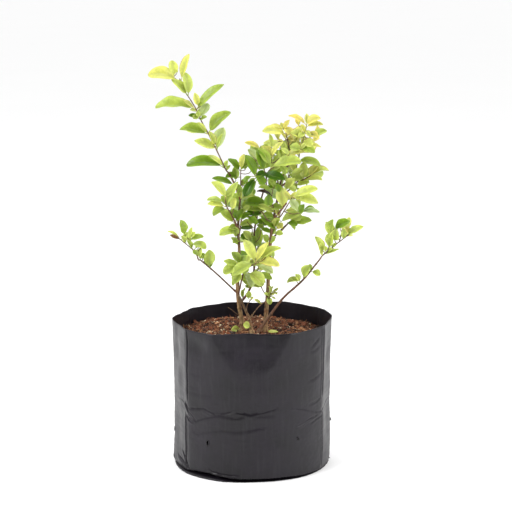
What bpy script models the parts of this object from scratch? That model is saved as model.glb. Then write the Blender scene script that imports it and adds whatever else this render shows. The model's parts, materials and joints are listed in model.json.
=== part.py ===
"""Potted golden duranta: a young shrub of five thin stems in a black nursery grow bag.

Everything is in metres and +Z is up. The origin is the centre of the bag's flat underside,
-Y is the side that the plant is looked at from, and +X is its right.
"""

import math
import random
from collections import namedtuple

import bmesh
import bpy
from mathutils import Vector
from mathutils.bvhtree import BVHTree

# Every piece keeps this far from its neighbours
GAP = 0.0003

# Grow bag of plastic film, with four soft upright creases
BAG_RADIUS = 0.100
BAG_HEIGHT = 0.186
BAG_FILM = 0.0010
BAG_FLOOR = 0.0012
BAG_SIDES = 40
BAG_CREASES = (-90.0, -56.0, 64.0, 90.0)
CREASE_WIDTH = 7.0
CREASE_DEPTH = 0.012
RIM_WAVE = 0.0012
RIM_TILT = 0.0010
BAG_PROFILE = (
    # height and radius as shares of the bag's own
    (0.000, 0.905),
    (0.010, 0.942),
    (0.060, 0.972),
    (0.270, 0.978),
    (0.620, 0.984),
    (0.900, 0.994),
    (1.000, 1.000),
)

# Potting mix, level under the stems and lower at the film
SOIL_HEIGHT = 0.170
SOIL_EDGE = 0.166
SOIL_LEVEL_RADIUS = 0.034
SOIL_SHOULDER_RADIUS = 0.066
SOIL_SHOULDER_HEIGHT = 0.1688

# Stems and boughs
LIMB_SIDES = 8
LIMB_STEP = 0.012
NODE_SWELL = 1.13
ROOT_FLARE = 0.65
ROOT_FLARE_LENGTH = 0.006

# Twigs inside a mass
TWIG_SIDES = 3
TWIG_STEP = 0.016
TWIG_FOOT_RADIUS = 0.00125
TWIG_TIP_RADIUS = 0.00075
SIDE_TWIG_SHARE = 0.85
SIDE_TWIG_NODES = ((0.5, 1.0), (0.985, 1.0))

# Leaves, in opposite pairs: thin keeled blades, broadest between their two sections
LEAF_THICK = 0.0010
LEAF_ROOT_HALF_WIDTH = 0.0007
LEAF_SLIMNESS = (0.34, 0.43)
LEAF_ARCH = (15.0, 50.0)
LEAF_SECTIONS = ((0.31, 0.92), (0.68, 0.84))
LEAF_OPENING = (74.0, 52.0)
TIP_OPENING = 26.0
LEAF_LIFT = 0.25
LEAF_TRIES = 7
YOUNG_LEAF = 0.70
LIGHT_FROM_FRONT = 0.75
LIGHT_FROM_TOP = 0.45
BACK_BEGINS = 0.022

Limb = namedtuple("Limb", "name parent from_height points foot_radius tip_radius")
Mass = namedtuple("Mass", "name limb height tip bow spread nodes leaf twigs step seed")
Route = namedtuple("Route", "points foot_along")
Leaf = namedtuple("Leaf", "root along upper length width arch")

# Points are in millimetres, from above the foot to the tip. A limb without a parent rises
# from the potting mix at its first point, and the others leave their parent at a height.
LIMBS = (
    Limb("stem_left", None, None,
         ((-11, 0, 170), (-18, 0, 220), (-16, 2, 273), (-17.5, 3, 299), (-14, 5, 346)), 3.0, 1.2),
    Limb("stem_right", None, None,
         ((16, -10, 170), (19.5, -6, 215), (22, -2, 263), (24.5, 0, 297), (31.5, 3, 335),
          (36.5, 5, 360), (47, 5, 384)), 2.9, 1.1),
    Limb("stem_right_low", None, None,
         ((7, -18, 170), (24, -18, 195), (40, -17, 216), (64, -15, 238), (86, -12, 265)),
         1.9, 1.0),
    Limb("stem_twin", None, None,
         ((0, -20, 170), (-3, -12, 186), (-9, -7, 199), (-13.5, -4.5, 210)), 2.2, 1.2),
    Limb("stem_centre", "stem_left", 203,
         ((-3, 6, 220), (2.5, 10, 245), (4, 12, 275), (3, 12, 296), (12, 6, 338), (17, 4, 354)),
         1.5, 1.0),
    Limb("bough_left_low", "stem_left", 217,
         ((-45, -8, 245), (-65, -12, 263)), 1.1, 0.9),
    Limb("bough_front_low", "stem_left", 214,
         ((-12.5, -12, 239), (-9, -26, 254)), 1.1, 0.9),
    Limb("bough_left_side", "stem_left", 299,
         ((-23, -5, 314), (-28, -10, 325)), 1.3, 1.0),
    Limb("bough_long", "stem_left", 338,
         ((-22, 3, 357), (-29, 0, 371)), 1.3, 1.1),
    Limb("bough_right_front", "stem_right", 312,
         ((38, -9, 327), (43, -15, 335)), 1.2, 0.9),
    Limb("bough_right_low", "stem_right", 286,
         ((36, 6, 297), (46, 9, 306)), 1.1, 0.9),
    Limb("bough_right_mid", "stem_right", 352,
         ((48, 10, 360), (56, 13, 364)), 1.2, 0.9),
    Limb("bough_back_left", "stem_left", 288,
         ((-14, 20, 303), (-12, 34, 318)), 1.2, 0.9),
    Limb("bough_back_right", "stem_right", 292,
         ((33, 20, 309), (38, 36, 324)), 1.2, 0.9),
    Limb("bough_back_top", "stem_right", 338,
         ((33, 20, 354), (30, 32, 368)), 1.2, 0.9),
)


def closing(count):
    """Shares along a shoot for its leaf pairs, closer together towards its tip, each of full size."""
    return tuple((0.14 + 0.845 * (k / count) ** 0.85, 1.0) for k in range(count + 1))


# The long shoot's pairs stand at uneven shares of its length and differ in size
LONG_SHOOT_NODES = (
    (0.05, 1.10), (0.25, 0.65), (0.41, 0.92), (0.64, 0.40), (0.71, 1.30), (0.97, 1.20), (1.00, 0.80),
)

# Each mass of leaves is one shoot with its side twigs. It grows from its limb's tip, or from
# the limb's side at a height. Tip, bow, spread and leaf are in millimetres, and step is the
# turn from each pair to the next in degrees.
MASSES = (
    Mass("leaves_long_shoot", "bough_long", None, (-85, -19, 488), (0, 4, 0),
         54, LONG_SHOOT_NODES, 45, 0, 0, 245),
    Mass("leaves_top_right", "stem_right", None, (63, 2, 415), (2, 0, 4),
         44, closing(4), 43, 3, 90, 379),
    Mass("leaves_right_low_tip", "stem_right_low", None, (116, -8, 298), (0, 0, 2),
         30, closing(4), 28, 2, 60, 302),
    Mass("leaves_left_low_tip", "bough_left_low", None, (-84, -12, 296), (2, 0, -2),
         27, closing(4), 27, 2, 60, 450),
    Mass("leaves_front_low", "bough_front_low", None, (8, -37, 274), (0, -2, 4),
         38, closing(3), 41, 2, 90, 174),
    Mass("leaves_left_side", "bough_left_side", None, (-25, -25, 344), (0, 0, 0),
         38, closing(3), 39, 2, 90, 13),
    Mass("leaves_left_top", "stem_left", None, (4, 10, 384), (0, 0, 0),
         34, closing(2), 41, 1, 90, 708),
    Mass("leaves_centre", "stem_centre", None, (31, -12, 379), (-4, 0, 4),
         44, closing(3), 48, 3, 90, 849),
    Mass("leaves_right_mid", "bough_right_mid", None, (63, 2, 368), (0, 0, 2),
         38, closing(3), 34, 2, 90, 818),
    Mass("leaves_right_front", "bough_right_front", None, (56, -35, 334), (0, 0, 2),
         38, closing(3), 34, 1, 90, 900),
    Mass("leaves_right_low", "bough_right_low", None, (55, 13, 318), (0, 0, 0),
         34, closing(2), 36, 1, 90, 142),
    Mass("leaves_top_left", "stem_right", 372, (32, 12, 409), (0, 0, 4),
         38, closing(3), 38, 1, 90, 85),
    Mass("leaves_middle", "stem_centre", 270, (8, -13, 328), (0, 0, 0),
         36, closing(3), 39, 2, 90, 812),
    Mass("leaves_middle_left", "stem_left", 262, (-16, -11, 294), (0, 0, 0),
         32, closing(2), 32, 1, 90, 353),
    Mass("leaves_inner_right", "stem_right", 322, (12, -25, 341), (0, 0, 0),
         34, closing(2), 40, 1, 90, 783),
    Mass("leaves_left_low", "bough_left_low", 246, (-57, -10, 261), (0, 0, 0),
         26, closing(1), 24, 0, 90, 435),
    Mass("leaves_right_low_side", "stem_right_low", 234, (66, -27, 245), (0, 0, 0),
         24, closing(1), 21, 0, 90, 659),
    Mass("leaves_front_left", "stem_left", 238, (-14, -20, 248), (0, 0, 0),
         28, closing(2), 30, 0, 90, 897),
    Mass("leaves_low_middle", "stem_centre", 216, (11, -4, 247), (0, 0, 0),
         20, closing(2), 18, 0, 90, 363),
    Mass("leaves_low_right", "stem_right", 204, (24, -16, 221), (0, 0, 0),
         20, closing(2), 15, 0, 90, 513),
    Mass("leaves_foot", "stem_right", 184, (-8, -25, 223), (0, 0, 0),
         20, closing(2), 16, 0, 90, 796),
    Mass("leaves_back_left", "bough_back_left", None, (-14, 50, 325), (0, 2, 0),
         38, closing(3), 34, 1, 90, 318),
    Mass("leaves_back_right", "bough_back_right", None, (48, 43, 363), (0, 2, 0),
         38, closing(3), 28, 1, 90, 421),
    Mass("leaves_back_top", "bough_back_top", None, (45, 40, 400), (0, 2, 0),
         36, closing(3), 29, 1, 90, 403),
    Mass("leaves_back_low", "stem_centre", 258, (-3, 39, 275), (0, 2, 0),
         32, closing(2), 25, 1, 90, 65),
)

MM = 0.001
FLAT = math.radians(0.5)
UP = Vector((0.0, 0.0, 1.0))


def clear_scene():
    for thing in list(bpy.data.objects):
        bpy.data.objects.remove(thing)


def material(name, colour, roughness):
    made = bpy.data.materials.new(name)
    made.use_nodes = True
    shader = made.node_tree.nodes["Principled BSDF"]
    shader.inputs["Base Color"].default_value = (*colour, 1.0)
    shader.inputs["Roughness"].default_value = roughness
    return made


def add_solid(name, points, faces, finish, smooth=False):
    """One named object from points and faces, with its faces turned outwards."""
    mesh = bpy.data.meshes.new(name)
    mesh.from_pydata([tuple(p) for p in points], [], faces)
    shape = bmesh.new()
    shape.from_mesh(mesh)
    bmesh.ops.recalc_face_normals(shape, faces=shape.faces)
    shape.to_mesh(mesh)
    shape.free()
    mesh.materials.append(finish)
    if smooth:
        mesh.shade_smooth()
        mesh.set_sharp_from_angle(angle=math.radians(40))
    solid = bpy.data.objects.new(name, mesh)
    bpy.context.scene.collection.objects.link(solid)
    return solid


def loft(rings):
    """Points and faces of a closed skin through rings of equal count, with a flat cap at each end."""
    count = len(rings[0])
    points = [p for ring in rings for p in ring]
    faces = [tuple(range(count))[::-1]]
    for ring in range(len(rings) - 1):
        for i in range(count):
            a = ring * count + i
            b = ring * count + (i + 1) % count
            faces.append((a, b, b + count, a + count))
    faces.append(tuple(range(len(points) - count, len(points))))
    return points, faces


def crease(angle):
    """How far the film stands out at an angle round the bag, in degrees from its right side."""
    bearing = angle + 90.0
    out = 0.0
    for place in BAG_CREASES:
        away = (bearing - place + 180.0) % 360.0 - 180.0
        out += math.exp(-((away / CREASE_WIDTH) ** 2))
    return CREASE_DEPTH * out


def bag_point(angle, height, inset):
    """A point of the film at an angle in degrees and a height from 0 to 1, set in by a distance."""
    low = max(i for i in range(len(BAG_PROFILE) - 1) if BAG_PROFILE[i][0] <= height)
    (h0, r0), (h1, r1) = BAG_PROFILE[low], BAG_PROFILE[low + 1]
    share = (height - h0) / (h1 - h0)
    radius = BAG_RADIUS * (r0 + (r1 - r0) * share) * (1.0 + crease(angle) * min(1.0, 4.0 * height))
    turn = math.radians(angle)
    wave = RIM_WAVE * math.sin(5 * turn + 0.35) * math.cos(2 * turn) + RIM_TILT * math.cos(turn)
    return Vector((
        (radius - inset) * math.cos(turn),
        (radius - inset) * math.sin(turn),
        BAG_HEIGHT * height + wave * height**6,
    ))


def bag_ring(height, inset, level=None):
    ring = [bag_point(360.0 * i / BAG_SIDES, height, inset) for i in range(BAG_SIDES)]
    if level is not None:
        for point in ring:
            point.z = level
    return ring


def grow_bag(finish):
    """The film as one thin shell: up its outside, over the rim and down its inside to the floor."""
    outside = [bag_ring(height, 0.0) for height, _ in BAG_PROFILE]
    inside = [bag_ring(height, BAG_FILM) for height, _ in reversed(BAG_PROFILE[2:])]
    floor = bag_ring(BAG_PROFILE[1][0], BAG_FILM, BAG_FLOOR)
    return add_solid("grow_bag", *loft(outside + inside + [floor]), finish, smooth=True)


def potting_mix(finish):
    """The mix fills the bag to a little below the rim, with a level middle for the stems."""
    inset = BAG_FILM + 2 * GAP
    bottom = bag_ring(BAG_PROFILE[1][0], inset, BAG_FLOOR + GAP)
    sides = [bag_ring(height, inset) for height, _ in BAG_PROFILE[2:5]]
    edge = bag_ring(SOIL_EDGE / BAG_HEIGHT, inset, SOIL_EDGE)
    outwards = [Vector((p.x, p.y, 0)).normalized() for p in edge]
    shoulder = [way * SOIL_SHOULDER_RADIUS + UP * SOIL_SHOULDER_HEIGHT for way in outwards]
    level = [way * SOIL_LEVEL_RADIUS + UP * SOIL_HEIGHT for way in outwards]
    return add_solid("potting_mix", *loft([bottom, *sides, edge, shoulder, level]), finish)


def spline(points, step):
    """A smooth curve through the points, as points about one step apart."""
    ends = [points[0] * 2 - points[1], *points, points[-1] * 2 - points[-2]]
    fine = []
    for a, b, c, d in zip(ends, ends[1:], ends[2:], ends[3:]):
        for i in range(12):
            t = i / 12
            fine.append(0.5 * (2 * b + (c - a) * t + (2 * a - 5 * b + 4 * c - d) * t**2
                               + (3 * b - a - 3 * c + d) * t**3))
    fine.append(points[-1])
    return resample(fine, step)


def resample(route, step):
    lengths = [(b - a).length for a, b in zip(route, route[1:])]
    count = max(2, round(sum(lengths) / step))
    spacing = sum(lengths) / count
    even, walked, i = [route[0].copy()], 0.0, 0
    for k in range(1, count):
        while walked + lengths[i] < k * spacing:
            walked += lengths[i]
            i += 1
        even.append(route[i].lerp(route[i + 1], (k * spacing - walked) / lengths[i]))
    even.append(route[-1].copy())
    return even


def at_share(route, share):
    """The point and the direction at a share of a route's points."""
    place = min(max(share, 0.0), 0.9999) * (len(route) - 1)
    i = int(place)
    return route[i].lerp(route[i + 1], place - i), (route[i + 1] - route[i]).normalized()


def at_height(route, height):
    for a, b in zip(route, route[1:]):
        if a.z <= height <= b.z:
            return a.lerp(b, (height - a.z) / (b.z - a.z))
    return route[-1]


def nearest(route, point):
    """The distance from a point to a route, and how far along the route that is, from 0 to 1."""
    best = (math.inf, 0.0)
    for i, (a, b) in enumerate(zip(route, route[1:])):
        run = b - a
        t = min(1.0, max(0.0, (point - a).dot(run) / run.length_squared))
        best = min(best, ((point - a - run * t).length, (i + t) / (len(route) - 1)))
    return best


def cut_clear(points, radius, step, parent, parent_points):
    """Drops the start of a route until its first ring stands a gap clear of the parent limb."""
    fine = resample(points, 0.0002)
    for i in range(len(fine) - 3):
        along = (fine[i + 3] - fine[i]).normalized()
        clear = True
        for corner in ring_round(fine[i], along, radius, LIMB_SIDES):
            distance, share = nearest(parent_points, corner)
            thick = (parent.foot_radius + (parent.tip_radius - parent.foot_radius) * share) * MM
            clear = clear and distance >= thick * NODE_SWELL + GAP
        if clear:
            return Route(resample(fine[i:], step), along)
    return Route(fine[-2:], along)


def ring_round(centre, along, radius, sides, side=None):
    across = side or along.cross(Vector((0.0, 1.0, 0.0)))
    across = (across - along * across.dot(along)).normalized()
    over = along.cross(across)
    ring = []
    for i in range(sides):
        turn = 2 * math.pi * i / sides
        ring.append(centre + (across * math.cos(turn) + over * math.sin(turn)) * radius)
    return ring


def tube(route, radii, sides):
    """Points and faces of a round limb along a route, one radius a point."""
    points = route.points
    rings = [ring_round(points[0], route.foot_along, radii[0], sides)]
    for i in range(1, len(points)):
        along = (points[min(len(points) - 1, i + 1)] - points[i - 1]).normalized()
        rings.append(ring_round(points[i], along, radii[i], sides))
    return loft(rings)


def limb_radii(limb, points):
    """Taper from foot to tip, a swelling at every other ring and a flare at the soil."""
    radii = []
    for i, point in enumerate(points):
        share = i / (len(points) - 1)
        radius = (limb.foot_radius + (limb.tip_radius - limb.foot_radius) * share) * MM
        if i % 2 and i < len(points) - 1:
            radius *= NODE_SWELL
        if limb.parent is None:
            radius *= 1 + ROOT_FLARE * math.exp(-(point - points[0]).length / ROOT_FLARE_LENGTH)
        radii.append(radius)
    return radii


def limb_named(name):
    return next(limb for limb in LIMBS if limb.name == name)


def limb_routes():
    """The middle line of each limb, by name."""
    routes = {}
    for limb in LIMBS:
        points = [Vector(p) * MM for p in limb.points]
        if limb.parent is None:
            points[0] += UP * GAP
            even = spline(points, LIMB_STEP)
            flare_top = even[0].lerp(even[1], 0.35)
            routes[limb.name] = Route([even[0], flare_top, *even[1:]], UP)
        else:
            parent = routes[limb.parent].points
            start = at_height(parent, limb.from_height * MM)
            routes[limb.name] = cut_clear(
                spline([start, *points], LIMB_STEP), limb.foot_radius * MM, LIMB_STEP,
                limb_named(limb.parent), parent)
    return routes


def twin_cut(routes):
    """The twin stem stops a gap short of the left stem, which it grows against."""
    twin = routes["stem_twin"]
    back = cut_clear(twin.points[::-1], limb_named("stem_twin").tip_radius * MM, LIMB_STEP,
                     limb_named("stem_left"), routes["stem_left"].points)
    return Route([twin.points[0], *back.points[-2::-1]], UP)


def leaf_shape(leaf, more=0.0):
    """Points and faces of one leaf: a thin blade with a keel under its middle, arching to its tip.

    It can be made thicker and wider all round by a distance, to test what it would touch.
    """
    across = leaf.along.cross(leaf.upper).normalized()
    upper = across.cross(leaf.along).normalized()
    points = []
    sections = ((0.0, LEAF_ROOT_HALF_WIDTH / (leaf.width / 2)), *LEAF_SECTIONS, (1.0, 0.0))
    for share, broad in sections:
        turn = leaf.arch * share
        run = leaf.length * math.sin(turn) / leaf.arch
        drop = leaf.length * (1 - math.cos(turn)) / leaf.arch
        middle = leaf.root + leaf.along * run - upper * drop
        over = upper * math.cos(turn) + leaf.along * math.sin(turn)
        if broad == 0.0:
            points.append(middle + (leaf.along * math.cos(turn) - upper * math.sin(turn)) * more)
            continue
        side = across * (leaf.width / 2 * broad + more)
        top = middle + over * (LEAF_THICK / 3 + more)
        keel = middle - over * (LEAF_THICK * 2 / 3 + more)
        points += [top - side, top + side, keel]
    faces = [(0, 1, 2)]
    for first in (0, 3):
        for i in range(3):
            a, b = first + i, first + (i + 1) % 3
            faces += [(a, b + 3, b), (a, a + 3, b + 3)]
    faces += [(6, 9, 7), (7, 9, 8), (8, 9, 6)]
    return points, faces


STALK_FACES = 7


def tree_of(points, faces):
    """A test tree, with the middle and the reach of its points for a quick first look."""
    middle = sum(points, Vector()) / len(points)
    reach = max((p - middle).length for p in points)
    return BVHTree.FromPolygons(points, faces), middle, reach


def touches(one, others):
    tree, middle, reach = one
    for other, centre, far in others:
        if (middle - centre).length < reach + far and tree.overlap(other):
            return True
    return False


class Space:
    """The long round space that one mass keeps to, from behind its foot to past its tip."""

    def __init__(self, foot, tip, spread):
        self.middle = (foot + tip) / 2
        self.along = (tip - foot).normalized()
        self.half_length = (tip - foot).length / 2 + spread * 0.85
        self.spread = spread

    def holds(self, points):
        for point in points:
            away = point - self.middle
            run = away.dot(self.along)
            out = (away - self.along * run).length
            if (run / self.half_length) ** 2 + (out / self.spread) ** 2 > 1.0:
                return False
        return True


def new_leaf(draw, root, stem, bearing, opening, length):
    """A leaf that leaves the stem's direction by the opening angle, towards the bearing."""
    opening = math.radians(opening)
    along = (stem * math.cos(opening) + bearing * math.sin(opening) + UP * LEAF_LIFT).normalized()
    front = Vector((0, 1, 0)) if root.y > BACK_BEGINS else Vector((0, -1, 0))
    light = stem * 0.35 + UP * LIGHT_FROM_TOP + front * LIGHT_FROM_FRONT
    light += Vector((draw.uniform(-1, 1), draw.uniform(-1, 1), draw.uniform(-1, 1))) * 0.45
    upper = (light - along * light.dot(along)).normalized()
    return Leaf(root, along, upper, length, length * draw.uniform(*LEAF_SLIMNESS),
                math.radians(draw.uniform(*LEAF_ARCH)))


def shoot_leaves(draw, route, nodes, size, turn, step):
    """Yields tries for each leaf of a shoot: its pairs, and a last young pair that closes its tip."""
    first, last = nodes[0][0], nodes[-1][0]
    for node, vigour in nodes:
        age = (node - first) / (last - first)
        root, stem = at_share(route, node + draw.uniform(-0.02, 0.02) * (age < 1))
        side = (Vector((1, 0, 0)) - stem * stem.x).normalized()
        over = stem.cross(side)
        grown = size * vigour * (1 - (1 - YOUNG_LEAF) * age**2) * draw.uniform(0.88, 1.12)
        spread = LEAF_OPENING[0] + (LEAF_OPENING[1] - LEAF_OPENING[0]) * age
        if age == 1:
            spread = TIP_OPENING
        for half in (0, 180):
            tries = []
            for k_try in range(LEAF_TRIES):
                loose = 7 + 9 * k_try
                angle = math.radians(turn + half + draw.uniform(-loose, loose))
                bearing = side * math.cos(angle) + over * math.sin(angle)
                opening = spread + draw.uniform(-loose, loose) * 0.8
                length = grown * draw.uniform(0.9, 1.1) * (1 - 0.05 * k_try)
                tries.append(new_leaf(draw, root, stem, bearing, opening, length))
            yield tries
        turn += step + draw.uniform(-12, 12)


def grow(mass, stem, obstacles):
    """The twigs and leaves of one mass, by its own seeded draws.

    A leaf or a side twig that would leave the mass's space, or touch what stands there, is
    tried again a few times with a looser aim, and then left out.
    """
    draw = random.Random(mass.seed)
    tip = Vector(mass.tip) * MM
    space = Space(stem.points[0], tip, mass.spread * MM)
    twigs = [(stem, TWIG_FOOT_RADIUS, TWIG_TIP_RADIUS)]
    blades = []
    leaves = []

    def place(route, nodes, size, turn, step):
        for tries in shoot_leaves(draw, route.points, nodes, size, turn, step):
            for leaf in tries:
                points, faces = leaf_shape(leaf, GAP)
                if not space.holds(points[3:]):
                    continue
                if touches(tree_of(points, faces), obstacles):
                    continue
                blade = tree_of(points, faces[STALK_FACES:])
                if touches(blade, blades):
                    continue
                leaves.append(leaf)
                blades.append(blade)
                break

    place(stem, mass.nodes, mass.leaf * MM, draw.uniform(-45, 45), mass.step)
    for k in range(mass.twigs):
        share = 0.12 + 0.62 * (k + 0.5) / mass.twigs
        for _ in range(LEAF_TRIES):
            root, along = at_share(stem.points, share + draw.uniform(-0.06, 0.06))
            angle = math.radians(137.5 * k + draw.uniform(-50, 50))
            side = (Vector((1, 0, 0)) - along * along.x).normalized()
            bearing = side * math.cos(angle) + along.cross(side) * math.sin(angle)
            heading = (along * 0.72 + bearing * 0.7 + UP * 0.12).normalized()
            length = mass.spread * MM * draw.uniform(0.5, 0.75)
            middle = root + heading * length * 0.55
            end = root + (heading + along * 0.22).normalized() * length
            route = Route(spline([root, middle, end], TWIG_STEP), heading)
            tree = tree_of(*twig_shape(route, TWIG_FOOT_RADIUS, TWIG_TIP_RADIUS, GAP))
            if space.holds(route.points) and not touches(tree, obstacles) and not touches(tree, blades):
                twigs.append((route, TWIG_FOOT_RADIUS * SIDE_TWIG_SHARE, TWIG_TIP_RADIUS))
                place(route, SIDE_TWIG_NODES, mass.leaf * MM * 0.85, draw.uniform(0, 180), mass.step)
                break
    return twigs, leaves


def twig_shape(route, foot, tip, more=0.0):
    last = len(route.points) - 1
    radii = [foot + (tip - foot) * i / last + more for i in range(last + 1)]
    return tube(route, radii, TWIG_SIDES)


def mass_route(mass, routes):
    """The mass's own stem, from a gap past its limb's tip or side to the mass's tip."""
    route = routes[mass.limb].points
    tip, bow = Vector(mass.tip) * MM, Vector(mass.bow) * MM
    if mass.height is None:
        heading = (route[-1] - route[-2]).normalized()
        foot = route[-1] + heading * GAP
        return Route(spline([foot, foot.lerp(tip, 0.5) + bow, tip], TWIG_STEP), heading)
    start = at_height(route, mass.height * MM)
    whole = spline([start, start.lerp(tip, 0.5) + bow, tip], TWIG_STEP)
    return cut_clear(whole, TWIG_FOOT_RADIUS, TWIG_STEP, limb_named(mass.limb), route)


def grown_masses(routes, limb_shapes):
    """Grows the masses one after another, each clear of the limbs and of those before it."""
    stems = {mass.name: mass_route(mass, routes) for mass in MASSES}
    stem_trees = {}
    for name, route in stems.items():
        stem_trees[name] = tree_of(*twig_shape(route, TWIG_FOOT_RADIUS, TWIG_TIP_RADIUS, GAP))
    fixed = [tree_of(*shape) for shape in limb_shapes]
    done = []
    grown = {}
    for mass in MASSES:
        others = [tree for name, tree in stem_trees.items() if name != mass.name]
        twigs, leaves = grow(mass, stems[mass.name], fixed + others + done)
        grown[mass.name] = twigs, leaves
        done += [tree_of(*leaf_shape(leaf)) for leaf in leaves]
        done += [tree_of(*twig_shape(*twig)) for twig in twigs]
    return grown


def one_body(mesh):
    """Keeps the largest closed piece of a mesh: loose scraps go, and sealed hollows are filled."""
    shape = bmesh.new()
    shape.from_mesh(mesh)
    bmesh.ops.triangulate(shape, faces=shape.faces)
    unseen = set(shape.faces)
    pieces = []
    while unseen:
        piece, front = set(), [unseen.pop()]
        while front:
            face = front.pop()
            piece.add(face)
            for edge in face.edges:
                for near in edge.link_faces:
                    if near in unseen:
                        unseen.discard(near)
                        front.append(near)
        pieces.append(piece)
    pieces.sort(key=len)
    bmesh.ops.delete(shape, geom=[face for piece in pieces[:-1] for face in piece], context="FACES")
    bmesh.ops.dissolve_limit(shape, angle_limit=FLAT, verts=shape.verts, edges=shape.edges)
    bmesh.ops.triangulate(shape, faces=shape.faces)
    shape.to_mesh(mesh)
    shape.free()


def fuse(name, solids, solver):
    """Joins the first solid and the rest into one by a union, and removes the rest."""
    body, others = solids[0], solids[1:]
    body.name = name
    group = bpy.data.collections.new(name + "_pieces")
    for other in others:
        bpy.context.scene.collection.objects.unlink(other)
        group.objects.link(other)
    bpy.context.scene.collection.children.link(group)
    union = body.modifiers.new("union", "BOOLEAN")
    union.operation = "UNION"
    union.operand_type = "COLLECTION"
    union.collection = group
    union.solver = solver
    bpy.context.view_layer.update()
    graph = bpy.context.evaluated_depsgraph_get()
    joined = bpy.data.meshes.new_from_object(body.evaluated_get(graph))
    body.modifiers.remove(union)
    body.data = joined
    joined.name = name
    for other in others:
        bpy.data.objects.remove(other)
    bpy.data.collections.remove(group)
    one_body(joined)
    return body


def foliage(grown, finish):
    """Each mass as one solid, its twigs and its leaves fused."""
    for name, (twigs, leaves) in grown.items():
        solids = []
        for twig in twigs:
            solids.append(add_solid(name + "_twig", *twig_shape(*twig), finish))
        for leaf in leaves:
            solids.append(add_solid(name + "_leaf", *leaf_shape(leaf), finish))
        fuse(name, solids, "EXACT")


def main():
    clear_scene()
    film = material("black film", (0.035, 0.034, 0.036), 0.45)
    mix = material("potting mix", (0.16, 0.08, 0.04), 0.95)
    bark = material("bark", (0.25, 0.15, 0.08), 0.8)
    green = material("leaves", (0.33, 0.48, 0.08), 0.5)
    grow_bag(film)
    potting_mix(mix)
    routes = limb_routes()
    routes["stem_twin"] = twin_cut(routes)
    shapes = []
    for limb in LIMBS:
        route = routes[limb.name]
        shape = tube(route, limb_radii(limb, route.points), LIMB_SIDES)
        add_solid(limb.name, *shape, bark, smooth=True)
        shapes.append(shape)
    for name in ("grow_bag", "potting_mix"):
        mesh = bpy.data.objects[name].data
        points = [v.co.copy() for v in mesh.vertices]
        shapes.append((points, [tuple(p.vertices) for p in mesh.polygons]))
    foliage(grown_masses(routes, shapes), green)


main()
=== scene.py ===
"""The looks of the potted golden duranta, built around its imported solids.

Everything is in metres in the row frame: +Z is up, the origin is the centre of the bag's flat
underside, and -Y is the side that the plant is looked at from. Tables of places are in mm.
"""

import json
import math
import random
from collections import namedtuple

import bpy
import numpy as np
from mathutils import Matrix, Vector, noise
from mathutils.bvhtree import BVHTree

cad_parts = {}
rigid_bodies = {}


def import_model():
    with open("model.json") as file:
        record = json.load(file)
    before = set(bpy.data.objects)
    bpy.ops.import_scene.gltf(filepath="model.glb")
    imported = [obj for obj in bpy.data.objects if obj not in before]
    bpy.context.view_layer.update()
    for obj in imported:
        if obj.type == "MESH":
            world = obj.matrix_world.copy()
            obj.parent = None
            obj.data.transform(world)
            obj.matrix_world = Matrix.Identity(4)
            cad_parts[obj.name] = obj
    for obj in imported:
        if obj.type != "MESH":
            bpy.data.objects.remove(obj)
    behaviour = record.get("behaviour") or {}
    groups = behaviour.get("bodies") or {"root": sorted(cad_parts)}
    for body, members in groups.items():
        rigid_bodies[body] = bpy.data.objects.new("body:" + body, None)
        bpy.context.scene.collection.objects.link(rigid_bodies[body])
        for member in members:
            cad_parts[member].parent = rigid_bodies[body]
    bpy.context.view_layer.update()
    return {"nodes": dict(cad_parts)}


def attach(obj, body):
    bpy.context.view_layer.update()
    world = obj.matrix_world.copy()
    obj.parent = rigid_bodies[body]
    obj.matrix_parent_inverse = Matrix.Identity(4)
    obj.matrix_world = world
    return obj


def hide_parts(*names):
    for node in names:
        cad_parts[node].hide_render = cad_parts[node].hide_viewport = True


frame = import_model()

# Driving sizes of the bag and the mix, as in the part's source, and the film's own thickness
BAG_RADIUS = 0.100
BAG_HEIGHT = 0.186
BAG_FLOOR = 0.0012
FILM = 0.0005
SOIL_HEIGHT = 0.170
SOIL_EDGE = 0.166

# The camera's place, its tilt down in degrees and its lens and sensor in mm. Half the picture's width and
# what stands a metre off and is a metre wide are given in picture points.
CAMERA_PLACE = (0.0051, -2.0, 0.639)
CAMERA_DOWN = 10.58
CAMERA_LENS = 113.84
CAMERA_SENSOR = 36.0
PICTURE_MIDDLE = 256
PICTURE_METRE = 1619.0

# The growth rule's values, as in the part's source
GAP = 0.0003
LIMB_SIDES = 8
LIMB_STEP = 0.012
NODE_SWELL = 1.13
ROOT_FLARE = 0.65
ROOT_FLARE_LENGTH = 0.006
TWIG_SIDES = 3
TWIG_STEP = 0.016
TWIG_FOOT_RADIUS = 0.00125
TWIG_TIP_RADIUS = 0.00075
SIDE_TWIG_SHARE = 0.85
SIDE_TWIG_NODES = ((0.5, 1.0), (0.985, 1.0))
LEAF_THICK = 0.0010
LEAF_ROOT_HALF_WIDTH = 0.0007
LEAF_SLIMNESS = (0.34, 0.43)
LEAF_ARCH = (15.0, 50.0)
LEAF_SECTIONS = ((0.31, 0.92), (0.68, 0.84))
LEAF_OPENING = (74.0, 52.0)
TIP_OPENING = 26.0
LEAF_LIFT = 0.25
LEAF_TRIES = 7
YOUNG_LEAF = 0.70
LIGHT_FROM_FRONT = 0.75
LIGHT_FROM_TOP = 0.45
BACK_BEGINS = 0.022
STALK_FACES = 7
MM = 0.001
UP = Vector((0.0, 0.0, 1.0))
RIGHT = Vector((1.0, 0.0, 0.0))
VIEWER = Vector((0.0, -0.984, 0.18))

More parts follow.
